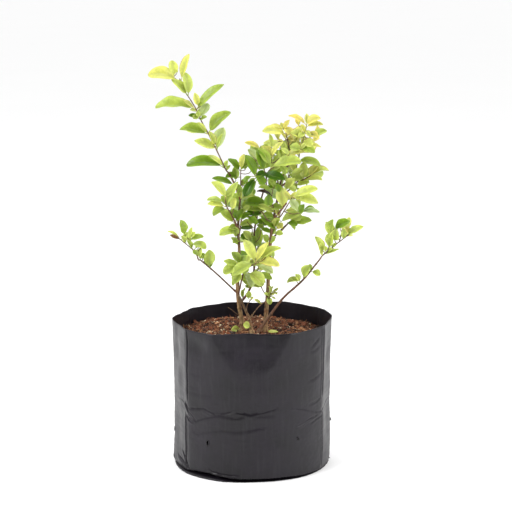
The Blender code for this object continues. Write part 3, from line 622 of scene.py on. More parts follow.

# A seen leaf: its root's x and y and its tip's x and y, the width it shows, how far its upper side turns
# from the sky to the viewer and how far it arches in degrees, its tone from 0, dark, to 6, gold, or under 0
# if it is dead, and how much deeper its tip lies than its root. A tone is partly the leaf's own colour and
# partly painted shade and light, set lower for leaves that show dark and higher for leaves that show bright.
# Its root lies as deep as the twig or limb that it grows on, unless its own depth follows.
Seen = namedtuple("Seen", "x y tip_x tip_y width facing arch tone lean depth", defaults=(None,))
SEEN_LEAVES = {
    "long_shoot": (
        (224, 168, 187, 165.5, 9.5, 40, 82, 0.9, -4), (224, 167, 208.5, 155, 4.5, 50, 40, 3.7, -10),
        (225, 168, 227.5, 160.5, 4, 60, 20, 2, -4), (226, 171, 230, 165, 3, 60, 20, 2.6, 2),
        (216, 149, 194.5, 140.5, 8.5, 60, 40, 3.5, -6), (217, 149.5, 223.5, 127.5, 11, -62, 25, 2.2, -5),
        (214.5, 146, 208.5, 131, 5.5, 66, 20, 4.1, -9), (216.5, 148, 222.5, 134, 4, 60, 25, 2.5, -12),
        (207, 134, 180, 129.5, 9.5, 48, 45, 1.7, -4), (207, 134, 197, 122.5, 4.5, 55, 25, 3.5, -10),
        (209, 132, 231, 112.5, 9, 52, 55, 2, -4), (200, 119, 188.5, 115.5, 4.5, 50, 30, 1.1, 5),
        (200, 118, 208.5, 103.5, 8, -60, 25, 2.4, -6), (200, 119.5, 207, 117, 4, 50, 20, 1.5, -8),
        (198.5, 116, 193.5, 119, 5, 60, 20, 2.6, -8), (195, 109.5, 155.5, 108.3, 10, 38, 56, 1.9, -5),
        (195, 109.5, 183, 100, 4, 55, 25, 3.9, -9), (196.5, 109, 224, 84.5, 9, 52, 35, 1.5, -4),
        (198, 106, 194.5, 93, 6, 65, 20, 4, -8), (197.5, 111, 199, 117.5, 4, 65, 20, 2.4, -7),
        (188.5, 95.5, 184, 72, 8.5, 55, 50, 3, -4), (187, 94.5, 171.5, 79.5, 8.5, 60, 45, 3.3, -8),
        (181, 80, 189.5, 54, 8, 62, 30, 4.7, -3), (177, 80, 148, 75.5, 11, 50, 75, 4.6, -5),
        (174, 77, 171.5, 60.5, 8.5, 64, 30, 4.2, 2), (177, 73, 176, 69.5, 2, 60, 10, 3.4, 0),
        (204.3, 102, 207, 100, 2.4, 60, 20, -1, -1),
    ),
    "top_right": (
        (306, 124, 288, 115.8, 5.5, 50, 45, 5.2, -4), (306.5, 124, 307, 113.5, 4, 62, 20, 4.7, 4),
        (307, 124, 320.5, 118.5, 7.5, 52, 75, 5, -4), (306, 127, 323, 124.5, 5, 48, 45, 4.7, -5),
        (305, 133, 300.5, 124.5, 5, 60, 20, 4.2, -5), (306, 134, 318.5, 136.5, 6, 52, 45, 5.3, -6),
        (309, 137.5, 327, 130.5, 6.5, 55, 25, 3.1, -1), (303, 139, 291, 132.5, 7, 55, 40, 3.6, -6),
        (303, 141, 312.5, 147, 7, 60, 45, 3.9, -8), (301, 149, 314.5, 152.5, 7, 50, 60, 1.6, -5),
        (307, 145, 321, 147.5, 3.5, 45, 45, 4.4, 1), (302, 145, 295.5, 142.5, 5, 60, 20, 4.2, -2),
        (302, 150, 289.5, 147, 7, 55, 40, 2.3, 2), (305, 132, 299, 137, 5, 60, 30, 3.4, -8),
        (306, 130, 310, 137, 4, 60, 30, 3.7, -9), (303, 143, 300, 148, 4, 60, 20, 4.3, -5),
        (301, 150, 306, 143, 4.5, 60, 20, 3.6, -1),
    ),
    "top_left": (
        (284, 130, 289.5, 120.3, 5, 58, 35, 5.3, -4), (286, 134, 262.5, 131.5, 9, 50, 62, 4.4, -6),
        (284, 128, 291.5, 134, 6.5, 55, 60, 5, -8), (283, 129, 270, 125.5, 3.5, 42, 30, 4.6, 3),
        (284, 130, 280.5, 122.5, 5, 60, 20, 4.9, 3), (272, 148, 270, 134, 4.5, 60, 15, 2.9, 2),
        (271.5, 157, 283, 141.5, 5, 55, 75, 4.1, -6), (284, 158, 282.5, 141, 5.5, 62, 15, 3.2, 2),
        (289, 153, 286, 139.5, 8, -60, 20, 4.4, 1), (281, 160, 280, 149, 6.5, 60, 20, 3, 2),
        (261, 149, 244.5, 142.5, 4.5, 50, 35, 4.7, -3), (261, 146, 272, 157, 7, 52, 50, 4.3, 0),
        (257, 160, 248, 149.5, 7, -62, 30, 3, 5), (272, 160, 268, 148, 5, 60, 20, 4.2, 4),
        (289, 150, 296, 142, 6, -58, 25, 3.8, 4), (288, 146, 292, 137, 5, 60, 20, 4.6, 5),
        (284, 158, 304.5, 152.5, 5, 45, 60, 4.3, -8), (290, 157, 296, 148, 5, 60, 20, 2.4, 2),
    ),
    "centre": (
        (256, 177, 245.5, 155, 8.5, 58, 25, 0.1, -6), (264, 171, 256.5, 149.5, 9.5, 62, 20, 0.4, -3),
        (271, 166, 258, 148, 8.5, 58, 35, 1.7, 4), (262.5, 174.5, 285, 179.5, 8.5, 56, 32, 0.3, -7),
        (255.8, 178, 245, 196.5, 8.5, 60, 30, 0, -4), (257, 180, 251, 194, 6, 60, 25, 0.9, 4),
        (252, 176, 245, 184.5, 4.5, 45, 85, 0.9, -2), (271, 168, 301, 162, 9, 48, 60, 2.2, -6),
        (289.7, 155, 281, 149, 5, 55, 30, 3, -4), (266, 186, 258, 184, 4.5, 50, 40, 3.2, -4),
        (279, 165, 285, 175, 7, 60, 30, 1.5, 0), (255.5, 175, 264.5, 184.5, 7, 56, 25, 0.6, -3),
        (255.5, 178.5, 267, 173, 7, 56, 25, 0.3, 3), (268, 186, 276, 179, 7, 60, 40, 1, 3),
        (266, 187, 283, 188, 6, 55, 50, 1.2, 6),
    ),
    "left_top": (
        (239.5, 171, 228, 159, 7, 52, 40, 1.3, -4), (240.5, 170, 244.5, 154.5, 6.5, 62, 15, 4.8, -3),
        (241, 170, 249, 163.5, 5, 52, 45, 1.2, -3), (236, 181, 234.5, 167, 6, 60, 20, 1.2, 5),
        (237, 177, 225, 177.5, 6, 52, 45, 0.7, -7), (240, 200, 241.5, 191.5, 4.5, 62, 10, 3.9, -5),
        (240, 199, 237.5, 184, 5.5, 60, 20, 1.5, -6), (241, 199, 255, 196, 5, 48, 45, 3.5, -7),
        (241, 201, 232, 195, 5.5, 58, 30, 1.6, 4), (241, 186, 248, 180, 5, 55, 30, 2, 4),
        (234, 184.5, 212, 178.3, 5.5, 50, 35, 1, -6), (241.5, 208, 252, 200, 5, 50, 30, 1.3, 2),
        (240, 207, 231, 201, 5, 55, 30, 1.2, 6),
    ),
    "left_side": (
        (226, 197, 211, 182.3, 8.5, 60, 35, 3.8, -3), (225, 207, 238.5, 182, 7.5, 62, 30, 2, -4),
        (224, 202, 207, 200, 4.5, 42, 60, 2.4, 5), (225.5, 207, 207.3, 203.8, 6, 52, 62, 3.9, -4),
        (226.5, 209, 213.5, 216, 6, 45, 80, 1.6, -3), (234, 223, 220, 211, 9, 58, 20, 2.7, -2),
        (236.5, 220, 231, 208.5, 6.5, 60, 20, 1, 0), (231.5, 209.5, 236, 198, 7, 62, 20, 3.5, -7),
        (226, 197, 231, 190, 5, 58, 20, 2.4, 4), (236, 222, 243, 209, 6.5, 60, 20, 1.1, -2),
        (229, 206, 221, 196, 5.5, 60, 25, 2.3, 4), (236.5, 233, 219.3, 235, 7, 42, 100, 2.4, -4),
        (236, 238, 233.5, 226.5, 6, 60, 25, 2.1, -3), (239, 245, 231, 237.5, 5, 55, 25, 1.7, -3),
        (225, 196, 220.5, 190, 5, 60, 20, 3.3, 3),
    ),
    "right_mid": (
        (298, 161, 321, 166, 7, 48, 55, 1, -4), (303, 179.5, 304, 162, 7.5, 60, 20, 3.9, 3),
        (309, 176, 318.5, 165.5, 5.5, 40, 40, 4.6, 2), (311, 175.5, 328.7, 171, 6.5, 30, 55, 4.1, -2),
        (303, 181.5, 322.7, 180.3, 6, 45, 60, 4.1, -5), (290, 177.5, 303, 170, 6.5, 52, 35, 3.2, -4),
        (291, 181, 304, 177, 5, 48, 30, 2.2, 3), (296, 186, 309.5, 182, 6, 50, 45, 2.9, -3),
        (285.5, 189, 295, 178.5, 7.5, 58, 30, 3.5, -6), (287, 187, 296, 190, 6, 55, 50, 2.3, 2),
        (297, 172, 290, 163, 7, 58, 30, 3.7, 3), (297, 181, 289, 174, 5, 58, 20, 2.4, 4),
        (298, 183, 293, 191, 6, 58, 40, 3.2, 3),
    ),
    "right_front": (
        (283.5, 209, 282, 187.5, 10.5, 58, 25, 4.1, 5), (292, 197.5, 317.8, 189.3, 8, 52, 55, 4, -6),
        (292.5, 198, 318.3, 203.5, 8.5, 52, 60, 3.9, -5), (299, 213, 291, 200, 7.5, -60, 25, 1.7, -4),
        (300.5, 214, 304.5, 204.5, 6.5, 60, 20, 1, -3), (301, 212, 319.6, 212, 5.5, -45, 25, 1.4, -3),
        (303, 211, 315, 208, 4.5, 50, 40, 0.9, 3), (281, 221.5, 301, 213.5, 6.5, 50, 30, 2.1, -2),
        (284, 212, 296, 209.5, 3, 45, 20, 4, 5), (291, 200, 284, 192, 5, 60, 20, 4.9, 3),
        (290, 200, 297, 192, 4.5, 60, 20, 4.6, 4), (279.5, 217, 275, 208, 5, 60, 20, 4.2, -4),
    ),
    "right_low": (
        (293, 222, 311.7, 220, 8, 58, 25, 1.6, -5), (287, 223, 297.5, 225, 5.5, 52, 45, 0.9, -3),
        (289, 222, 302, 216, 6, 52, 20, 2.2, 4), (274, 234, 283.3, 234, 4.5, 48, 35, 2.3, -2),
        (289, 223, 295, 230, 4, 55, 40, 1.4, 3), (276, 229, 283, 224, 4.5, 55, 20, 5, 0),
        (273, 228, 277, 219, 5, 60, 20, 3.6, -6),
    ),
    "front_low": (
        (255, 262.5, 243.5, 240, 9.5, 64, 25, 3.7, -5), (256, 261.5, 269, 242, 7, 60, 30, 4.4, -4),
        (259, 258, 281.3, 248.5, 7.5, 52, 40, 3.1, -2), (257, 263, 279.5, 265.8, 7, 44, 75, 4.5, -5),
        (257, 265.5, 273.3, 273, 7.5, -55, 40, 1.9, -4), (253.5, 262.5, 232.5, 275, 10, 62, 45, 2.4, -8),
        (243.5, 271, 252, 287.5, 7.5, -60, 25, 2.6, -5), (249, 273, 262.5, 285, 11, 60, 60, 3.3, -4),
        (237, 265, 224, 261, 6, 55, 30, 2.4, -3), (237.5, 267, 223.8, 273.5, 8, 55, 45, 2, -4),
        (241, 264, 232, 252.5, 7, 60, 25, 2, -4), (241.5, 265, 246, 255, 6, 58, 45, 1.4, 2),
        (241, 273, 234, 284, 8.5, 62, 25, 2.7, -7), (244, 265, 240, 256, 6, 60, 20, 2.2, 3),
        (249, 267, 243, 274, 5, 60, 30, 2.2, -6), (262, 258, 270, 252, 6, 55, 20, 2.6, 6),
    ),
    "left_low_tip": (
        (184.5, 235.5, 180.3, 219.8, 8, 58, 30, 1.6, -3), (179, 237, 167.7, 231.3, 2.5, 40, 30, 3, -2),
        (180, 239, 169.5, 234.7, 3.4, 60, 10, -2, -4), (189.2, 239.5, 192.3, 227, 4, 60, 15, 3, -2),
        (189.5, 238, 195.5, 232, 4.5, 60, 15, 3.1, -4), (190, 240, 203.3, 237, 5, 50, 55, 1.7, -3),
        (192, 245, 205.8, 248.5, 5.5, 45, 100, 2.2, -4), (195, 248.5, 201, 244, 3.5, 50, 30, 2.8, -4),
        (184, 241, 187.5, 232, 4.5, 60, 20, 3.2, 2), (186, 243, 181, 236, 4.5, 60, 20, 3.2, -5),
        (192.5, 248.5, 187, 240.5, 5, 60, 15, 2.9, -5), (193, 250, 197.5, 254.5, 4, 55, 20, 1, -4),
    ),
    "left_low": (
        (210, 267, 209.5, 250, 10, 62, 20, 2.5, -4), (209, 266.5, 203.5, 253.5, 5.5, 60, 20, 1.2, 2),
        (199, 258, 201.5, 247.5, 6, 62, 20, 2.5, -3), (199.5, 258.5, 204.5, 253, 5, 58, 20, 1.3, -5),
        (210, 268, 213.2, 261, 4, 60, 25, 1.4, -1),
    ),
    "right_low_tip": (
        (321.5, 254, 314.5, 236.8, 8, 58, 55, 3.1, -4), (325, 254.5, 339, 249, 3, 42, 15, 2.3, -3),
        (330.3, 232, 333.5, 219.3, 7.5, 58, 30, 1.8, -3), (329, 248, 331.5, 232.5, 8, 60, 20, 2.6, -5),
        (334, 229, 350, 221, 8, 58, 30, 1.7, 3), (334.5, 240.5, 336, 228.5, 8.5, 60, 45, 3, -6),
        (347, 235, 363.6, 226.8, 6, 52, 45, 2.9, -3), (343.5, 239, 343.5, 228.5, 4.5, 55, 30, 1.6, -4),
        (349, 233.5, 345, 226.5, 5, 60, 20, 4.8, 2), (350, 234, 354.3, 231.3, 2.5, 50, 10, 3.2, -2),
        (326.5, 252, 324, 246.5, 4, 58, 20, 3.1, -5), (327, 251, 332, 248.5, 3.5, 55, 20, 2.8, -2),
        (322, 249, 319.5, 243, 3, 60, 20, 3, -6), (333, 247, 336, 243.5, 3, 55, 20, 2.7, -4),
        (339, 236, 333, 231, 5, 58, 20, 3.2, -3), (322.5, 256, 320, 250, 3.5, 60, 15, 3.3, -3),
    ),
    "right_low_side": (
        (303, 278.5, 310.5, 265.5, 8.5, 58, 30, 2, -3), (312, 272, 319.8, 275.5, 5.5, 48, 80, 2.5, -3),
        (300.5, 281.5, 286.8, 282.5, 5, 45, 80, 2.4, -4), (300, 281, 295.5, 274.5, 5, 58, 20, 2.8, -5),
        (311, 272, 309.3, 263.5, 3.5, 60, 15, 1.8, 0), (297, 281.5, 291, 278.5, 4, 50, 30, 3.6, -2),
    ),
    "low_middle": (
        (257, 273, 272, 279.5, 5.5, 48, 40, 1.8, -12), (250.5, 290, 248.2, 283, 3, 60, 20, 3.6, -3),
        (249, 288, 245, 285.5, 2.5, 55, 20, 1.6, -3), (265, 249, 271, 243.5, 5, 56, 30, 1.5, -4),
    ),
    "low_right": (
        (260.5, 286.5, 256.5, 282.5, 3.2, 58, 25, 2.8, -2), (260.8, 286, 264, 283.5, 3, 58, 25, 3.1, -2),
        (271, 293.5, 278.6, 287.2, 1.6, 62, 20, 1.4, -2), (271, 293.8, 278.3, 293.3, 1.3, 60, 20, 1.4, -2),
        (268, 296.5, 270.6, 304.5, 5, 60, 30, 2.6, -4),
    ),
    "foot": (
        (261.5, 304, 254.5, 299.8, 2.8, 55, 40, 4.1, -3), (249, 299, 248.6, 291, 4.6, 60, 25, 2.6, -3),
        (250.5, 300, 253.5, 297, 1.8, 60, 20, 3.9, -2), (242.5, 298, 241.8, 289.5, 3.4, 60, 20, 1.5, -3),
        (243, 293, 245.5, 287.5, 2.4, 60, 20, 1.2, -2),
        (239.8, 328.5, 231, 331, 6.4, 66, 25, 3.2, -16.2, 4), (250.5, 327, 243, 325, 6.4, 64, 25, 3, -2),
        (265.5, 331.3, 278, 332, 2.6, 60, 25, 3.6, -5.7, -12),
    ),
    "middle": (
        (267.5, 207, 245, 203.5, 9, 48, 75, 0.7, -4), (265, 211.5, 242.5, 209.5, 6.5, 48, 45, 2, -5),
        (263, 214, 245, 214.5, 6, 52, 30, 0, -4), (241, 219.5, 251, 214, 5.5, 52, 30, 0.6, -3),
        (255.5, 220, 266.5, 225.3, 6, 54, 30, 0.5, -3), (247.5, 216.8, 257.5, 224, 6, 54, 25, 0.9, -3),
        (254, 222.5, 240, 225.5, 6, 50, 40, 2.4, -4), (254.5, 227, 241, 228.5, 6, 52, 35, 0.1, -3),
        (251, 241, 243.5, 231, 7, 58, 30, 2.8, -4), (259.5, 248, 257.8, 227.5, 7, 60, 20, 1.5, 3),
        (255.5, 249, 252.5, 236, 7, 60, 20, 1.2, -3), (268, 243.5, 263, 235, 7, 58, 30, 1.7, -3),
        (269, 243.5, 276, 237.5, 6.5, 58, 30, 1.3, -3), (271, 232.5, 261.8, 229.3, 4.4, 50, 40, 0.9, -3),
        (269.5, 248, 273.5, 257.5, 5, 60, 30, 1.5, -3), (264.5, 229.5, 257, 225, 4, 50, 30, 2, -3),
        (249, 242, 240.8, 234.5, 6, 55, 30, 0.7, 2), (241, 213, 250.5, 206, 4.5, 50, 30, 1.9, -3),
        (247, 200, 255, 190, 7, 58, 20, 0.2, 4),
    ),
    "middle_left": (
        (239.5, 229, 229, 228.5, 6.5, 52, 40, 1.3, -4), (240, 240, 232.5, 243.5, 4.6, 50, 40, 1.8, -4),
    ),
    "inner_right": (
        (276, 213, 257, 205.5, 6.5, 54, 35, 2.8, -4), (270, 209, 280.5, 207, 6.5, 52, 40, 1.1, 2),
        (276.5, 229.5, 260.5, 216.5, 11, 56, 35, 0.9, -5), (268.5, 207, 269, 194.5, 7.5, 60, 20, 0.8, -3),
        (272, 195.5, 257, 191.3, 2.8, 50, 70, -1, -3), (271, 189.5, 258, 187, 4, 52, 40, 2, -3),
        (275.5, 223, 282, 228.5, 6, 56, 35, 4.1, -3), (273, 227.5, 280, 218.5, 7, 58, 30, 2.4, -4),
        (276, 210, 284, 205, 5, 58, 30, 2.4, 2), (275, 188, 270, 180.5, 5.5, 58, 25, 1.8, -3),
        (276, 184, 279, 191.5, 5.5, 58, 30, 0.6, -2), (275, 217.5, 263, 214.5, 6, 50, 30, 1.9, -2),
        (271, 236, 274.5, 227, 6, 58, 20, 1.6, 3),
    ),
}

# Stretches of the limbs, besides a mass's own twigs, that its seen leaves grow on
CARRIERS = {
    "left_low": (((-21, -4, 232), (-45, -8, 245), (-65, -12, 263)),),
    "right_low_side": (((40, -17, 216), (64, -15, 238), (86, -12, 265)),),
    "left_top": (((-17.5, 3, 299), (-14, 5, 346)),),
    "left_side": (((-17.5, 3, 299), (-23, -5, 314), (-28, -10, 325)), ((-16, 2, 273), (-17.5, 3, 299)),),
    "right_low": (((24.5, 0, 297), (31.5, 3, 335)), ((22, -2, 263), (24.5, 0, 297)),),
    "right_front": (((24.5, 0, 297), (31.5, 3, 335)),),
    "centre": (((3, 12, 296), (12, 6, 338), (17, 4, 354)),),
    "middle": (((3, 12, 296), (12, 6, 338), (17, 4, 354)), ((22, -2, 263), (24.5, 0, 297)),),
    "middle_left": (((-18, 0, 220), (-16, 2, 273), (-17.5, 3, 299)),),
    "inner_right": (((22, -2, 263), (24.5, 0, 297), (31.5, 3, 335)),),
}


# Finer growth inside each mass: small leaves in the axils, and short twigs with young pairs
AXIL_CHANCE = 0.62
AXIL_LENGTH = (0.22, 0.42)
AXIL_OPENING = (22.0, 58.0)
FINE_TWIG_LENGTH = (0.007, 0.017)
FINE_TWIG_RADII = (0.00062, 0.00042)
FINE_LEAF = (0.010, 0.019)
FINE_PAIRS = ((0.55, 0.8), (1.0, 1.0))
FINE_TRIES = 5


def finer_growth(mass, twigs, leaves, trees):
    """More leaves and short twigs by the same rule, inside the mass's space and clear of the rest."""
    draw = random.Random(mass.seed + 1000)
    stem = twigs[0].route
    space = Space(stem.points[0], Vector(mass.tip) * MM, mass.spread * MM)
    small, shoots = [], []

    def place(leaf):
        points, faces = leaf_shape(leaf, GAP / 2)
        if not space.holds(points[3:]):
            return False
        tree = tree_of(points[3:], [(0, 2, 5), (0, 5, 3), (3, 5, 6), (3, 6, 4), (1, 0, 3), (1, 3, 4)])
        if touches(tree, trees):
            return False
        small.append(leaf)
        trees.append(tree_of(*leaf_shape(leaf)))
        return True

    for leaf in leaves:
        if leaf.age > 0.97 or draw.random() > AXIL_CHANCE:
            continue
        bearing = leaf.along - leaf.stem * leaf.along.dot(leaf.stem)
        for _ in range(FINE_TRIES):
            twist = Matrix.Rotation(math.radians(draw.uniform(-65, 65)), 3, leaf.stem)
            towards = (twist @ bearing).normalized()
            opening = draw.uniform(*AXIL_OPENING)
            length = leaf.length * draw.uniform(*AXIL_LENGTH)
            tried = new_leaf(draw, leaf.root, leaf.stem, towards, opening, length, 0.75 + leaf.age / 4)
            if place(tried):
                break
    for twig in twigs:
        count = 3 if twig.route is stem else 1
        for k in range(count):
            for _ in range(FINE_TRIES):
                root, along = at_share(twig.route.points, (k + draw.uniform(0.2, 1.0)) / count)
                angle = math.radians(draw.uniform(0, 360))
                side = (RIGHT - along * along.x).normalized()
                bearing = side * math.cos(angle) + along.cross(side) * math.sin(angle)
                heading = (along * 0.7 + bearing * 0.75 + UP * 0.15).normalized()
                length = draw.uniform(*FINE_TWIG_LENGTH) * min(1.0, mass.leaf / 26)
                end = root + heading * length + along * length * 0.15
                route = Route(spline([root, root + heading * length * 0.5, end], 0.003), heading)
                if not space.holds(route.points):
                    continue
                size = draw.uniform(*FINE_LEAF) * min(1.0, mass.leaf / 26)
                before = len(small)
                for tries in shoot_leaves(draw, route.points, FINE_PAIRS, size, draw.uniform(0, 180), 90):
                    any(place(tried) for tried in tries)
                if len(small) > before:
                    shoots.append(Twig(route, *FINE_TWIG_RADII))
                    break
    return small, shoots


def srgb(red, green, blue):
    """The linear colour of an 8-bit one."""
    values = []
    for value in (red, green, blue):
        value /= 255
        values.append(value / 12.92 if value <= 0.04045 else ((value + 0.055) / 1.055) ** 2.4)
    return (*values, 1.0)


class Nodes:
    """A material's node tree, built call by call."""

    def __init__(self, name):
        self.material = bpy.data.materials.new(name)
        self.material.use_nodes = True
        self.tree = self.material.node_tree
        self.shader = self.tree.nodes["Principled BSDF"]
        self.output = self.tree.nodes["Material Output"]
        self.place = self.tree.nodes.new("ShaderNodeTexCoord")

    def link(self, value, socket):
        self.tree.links.new(value, socket)

    def make(self, kind, inputs=None, **settings):
        node = self.tree.nodes.new(kind)
        for key, value in settings.items():
            setattr(node, key, value)
        for key, value in (inputs or {}).items():
            if isinstance(value, bpy.types.NodeSocket):
                self.link(value, node.inputs[key])
            else:
                node.inputs[key].default_value = value
        return node

    def noise(self, scale, detail=3.0, rough=0.55, stretch=None, where="Object"):
        vector = self.place.outputs[where]
        if stretch:
            vector = self.make("ShaderNodeMapping", {"Vector": vector, "Scale": stretch}).outputs[0]
        inputs = {"Vector": vector, "Scale": scale, "Detail": detail, "Roughness": rough}
        return self.make("ShaderNodeTexNoise", inputs).outputs["Fac"]

    def spread(self, value, low, high, to_low=0.0, to_high=1.0):
        inputs = {"Value": value, "From Min": low, "From Max": high, "To Min": to_low, "To Max": to_high}
        return self.make("ShaderNodeMapRange", inputs).outputs["Result"]

    def mix(self, share, first, second, blend="MIX"):
        inputs = {0: share, 6: first, 7: second}
        return self.make("ShaderNodeMix", inputs, data_type="RGBA", blend_type=blend).outputs[2]

    def math(self, operation, first, second=0.5):
        return self.make("ShaderNodeMath", {0: first, 1: second}, operation=operation).outputs[0]

    def bump(self, height, strength, distance, normal=None):
        inputs = {"Height": height, "Strength": strength, "Distance": distance}
        if normal:
            inputs["Normal"] = normal
        return self.make("ShaderNodeBump", inputs).outputs["Normal"]

    def finish(self, colour=None, rough=None, normal=None, **constants):
        if colour is not None:
            self.link(colour, self.shader.inputs["Base Color"])
        if isinstance(rough, bpy.types.NodeSocket):
            self.link(rough, self.shader.inputs["Roughness"])
        elif rough is not None:
            self.shader.inputs["Roughness"].default_value = rough
        if normal:
            self.link(normal, self.shader.inputs["Normal"])
        for key, value in constants.items():
            self.shader.inputs[key.replace("_", " ")].default_value = value
        return self.material


def shaded(colour, factor):
    return (*(min(1.0, channel * factor) for channel in colour[:3]), 1.0)


# Leaf tints from dark to gold in even steps of tone: the upper side, and what light through it looks like
TINTS = (
    ("leaf_dark", (58, 98, 2), (124, 166, 6)),
    ("leaf_deep", (116, 150, 36), (148, 180, 26)),
    ("leaf_mid", (160, 183, 77), (180, 204, 54)),
    ("leaf_green", (183, 202, 101), (202, 218, 70)),
    ("leaf_fresh", (195, 212, 110), (214, 226, 86)),
    ("leaf_lime", (206, 218, 118), (224, 233, 98)),
    ("leaf_pale", (212, 218, 118), (232, 232, 100)),
    ("leaf_yellow", (216, 213, 116), (235, 228, 100)),
    ("leaf_gold", (218, 206, 110), (236, 218, 100)),
)
UNDERSIDES = (
    ("under_green", (180, 205, 148), (180, 204, 96)),
    ("under_pale", (196, 214, 150), (208, 222, 105)),
    ("under_yellow", (214, 214, 146), (230, 226, 115)),
)
VEINS = (
    ("vein_deep", (112, 146, 56), (140, 172, 50)),
    ("vein_green", (172, 194, 112), (190, 210, 90)),
    ("vein_pale", (206, 212, 140), (222, 226, 115)),
)
RUSSET = ("leaf_russet", (176, 128, 62), (190, 140, 60))
DEAD = ("leaf_dead", (50, 38, 26), (80, 60, 30))
WITHERED = ("leaf_withered", (138, 102, 62), (150, 105, 50))
LEAF_THROUGH = 0.34
LEAF_MIDDLE = (0.86, 0.86, 0.80)
LEAF_MARGIN = (1.26, 1.22, 1.40)


def tinted(nodes, colour, factors):
    """A colour socket with each channel multiplied, which a shader may carry past white."""
    return nodes.mix(1.0, colour, (*factors, 1.0), "MULTIPLY")


def leaf_material(name, upper, through, rough=0.33):
    """A thin satin leaf that lets light through, with side veins and a soft mottling."""
    nodes = Nodes(name)
    patches = nodes.noise(85.0, 2.0)
    grain = nodes.noise(900.0, 3.0, 0.6)
    base = srgb(*upper)
    yellower = (min(1.0, base[0] * 1.16), min(1.0, base[1] * 1.10), base[2] * 0.95, 1.0)
    colour = nodes.mix(nodes.spread(patches, 0.32, 0.68), shaded(base, 0.78), yellower)
    colour = nodes.mix(nodes.spread(grain, 0.35, 0.65, 0.0, 0.18), colour, shaded(base, 0.72))
    place = nodes.make("ShaderNodeSeparateXYZ", {0: nodes.place.outputs["UV"]})
    across = nodes.math("ABSOLUTE", nodes.math("SUBTRACT", place.outputs[0], 0.5))
    flecked = nodes.math("ADD", across, nodes.spread(nodes.noise(330.0, 3.0), 0.3, 0.7, -0.14, 0.14))
    middle, margin = tinted(nodes, colour, LEAF_MIDDLE), tinted(nodes, colour, LEAF_MARGIN)
    colour = nodes.mix(nodes.spread(flecked, 0.12, 0.42), middle, margin)
    slanted = nodes.math("SUBTRACT", nodes.math("MULTIPLY", place.outputs[1], 8.0),
                         nodes.math("MULTIPLY", across, 3.0))
    ribs = nodes.math("POWER", nodes.math("PINGPONG", slanted, 0.5), 0.6)
    veined = nodes.bump(ribs, 0.55, 0.00035)
    normal = nodes.bump(grain, 0.25, 0.0002, veined)
    shine = nodes.spread(nodes.noise(240.0), 0.3, 0.7, rough - 0.07, rough + 0.1)
    nodes.finish(colour, shine, normal)
    nodes.shader.inputs["Specular IOR Level"].default_value = 0.4
    glow = nodes.make("ShaderNodeBsdfTranslucent", {"Color": srgb(*through), "Normal": normal})
    shares = {0: LEAF_THROUGH, 1: nodes.shader.outputs[0], 2: glow.outputs[0]}
    both = nodes.make("ShaderNodeMixShader", shares)
    nodes.link(both.outputs[0], nodes.output.inputs["Surface"])
    return nodes.material


def bark_material(name, pale, dark, ruddy, young=1.0):
    """Thin bark with long fibres, pale flecks and ruddy patches. Its tip is darker by the share young."""
    nodes = Nodes(name)
    place = nodes.make("ShaderNodeSeparateXYZ", {0: nodes.place.outputs["UV"]})
    aged = nodes.spread(place.outputs[1], 0.3, 0.75)
    fibres = nodes.noise(700.0, 5.0, 0.65, (1.0, 1.0, 0.16))
    patches = nodes.noise(120.0, 3.0)
    flecks = nodes.noise(1500.0, 2.0)
    colour = nodes.mix(nodes.spread(fibres, 0.36, 0.64), srgb(*dark), srgb(*pale))
    colour = nodes.mix(nodes.spread(patches, 0.42, 0.66, 0.0, 0.75), colour, srgb(*ruddy))
    colour = nodes.mix(nodes.spread(flecks, 0.62, 0.72, 0.0, 0.5), colour, shaded(srgb(*pale), 1.25))
    tip = nodes.mix(1.0, colour, (young, young * 0.96, young * 0.94, 1.0), "MULTIPLY")
    colour = nodes.mix(aged, colour, tip)
    normal = nodes.bump(fibres, 0.8, 0.0005)
    normal = nodes.bump(flecks, 0.4, 0.0002, normal)
    rough = nodes.spread(fibres, 0.3, 0.7, 0.62, 0.88)
    return nodes.finish(colour, rough, normal)


def plain_material(name, colour, rough, scale, contrast=0.25, depth=0.0003):
    """One colour broken up by a noise, with a matching relief."""
    nodes = Nodes(name)
    base = srgb(*colour)
    grain = nodes.noise(scale, 4.0, 0.6)
    mixed = nodes.mix(nodes.spread(grain, 0.3, 0.7), shaded(base, 1 - contrast), shaded(base, 1 + contrast))
    return nodes.finish(mixed, rough, nodes.bump(grain, 0.6, depth))


def film_material():
    """Black polyethylene: satin, with faint drawn lines, dusty scuffs, a soft sheen and painted shade in the
    creases, where the gloss is turned down.
    """
    nodes = Nodes("black_film")
    drawn = nodes.noise(260.0, 4.0, 0.6, (1.0, 1.0, 0.1))
    level = nodes.noise(240.0, 4.0, 0.6, (0.1, 0.1, 1.0))
    dust = nodes.noise(26.0, 5.0, 0.62)
    colour = nodes.mix(nodes.spread(dust, 0.35, 0.75), srgb(13, 10, 15), srgb(25, 20, 29))
    colour = nodes.mix(nodes.spread(drawn, 0.5, 0.75, 0.0, 0.3), colour, srgb(42, 41, 44))
    dusty = nodes.spread(dust, 0.3, 0.7, 0.31, 0.41)
    rough = nodes.math("ADD", nodes.spread(level, 0.3, 0.7, 0.0, 0.06), dusty)
    normal = nodes.bump(drawn, 0.14, 0.0003)
    normal = nodes.bump(level, 0.3, 0.0003, normal)
    # How deep in a crease each place lies, carried in the UVs, turns the gloss down: painted shade in the
    # folds
    groove = nodes.make("ShaderNodeSeparateXYZ", {0: nodes.place.outputs["UV"]}).outputs[0]
    nodes.link(nodes.spread(groove, 0.0, 1.0, 0.5, 0.12), nodes.shader.inputs["Specular IOR Level"])
    return nodes.finish(colour, rough, normal, IOR=1.37)


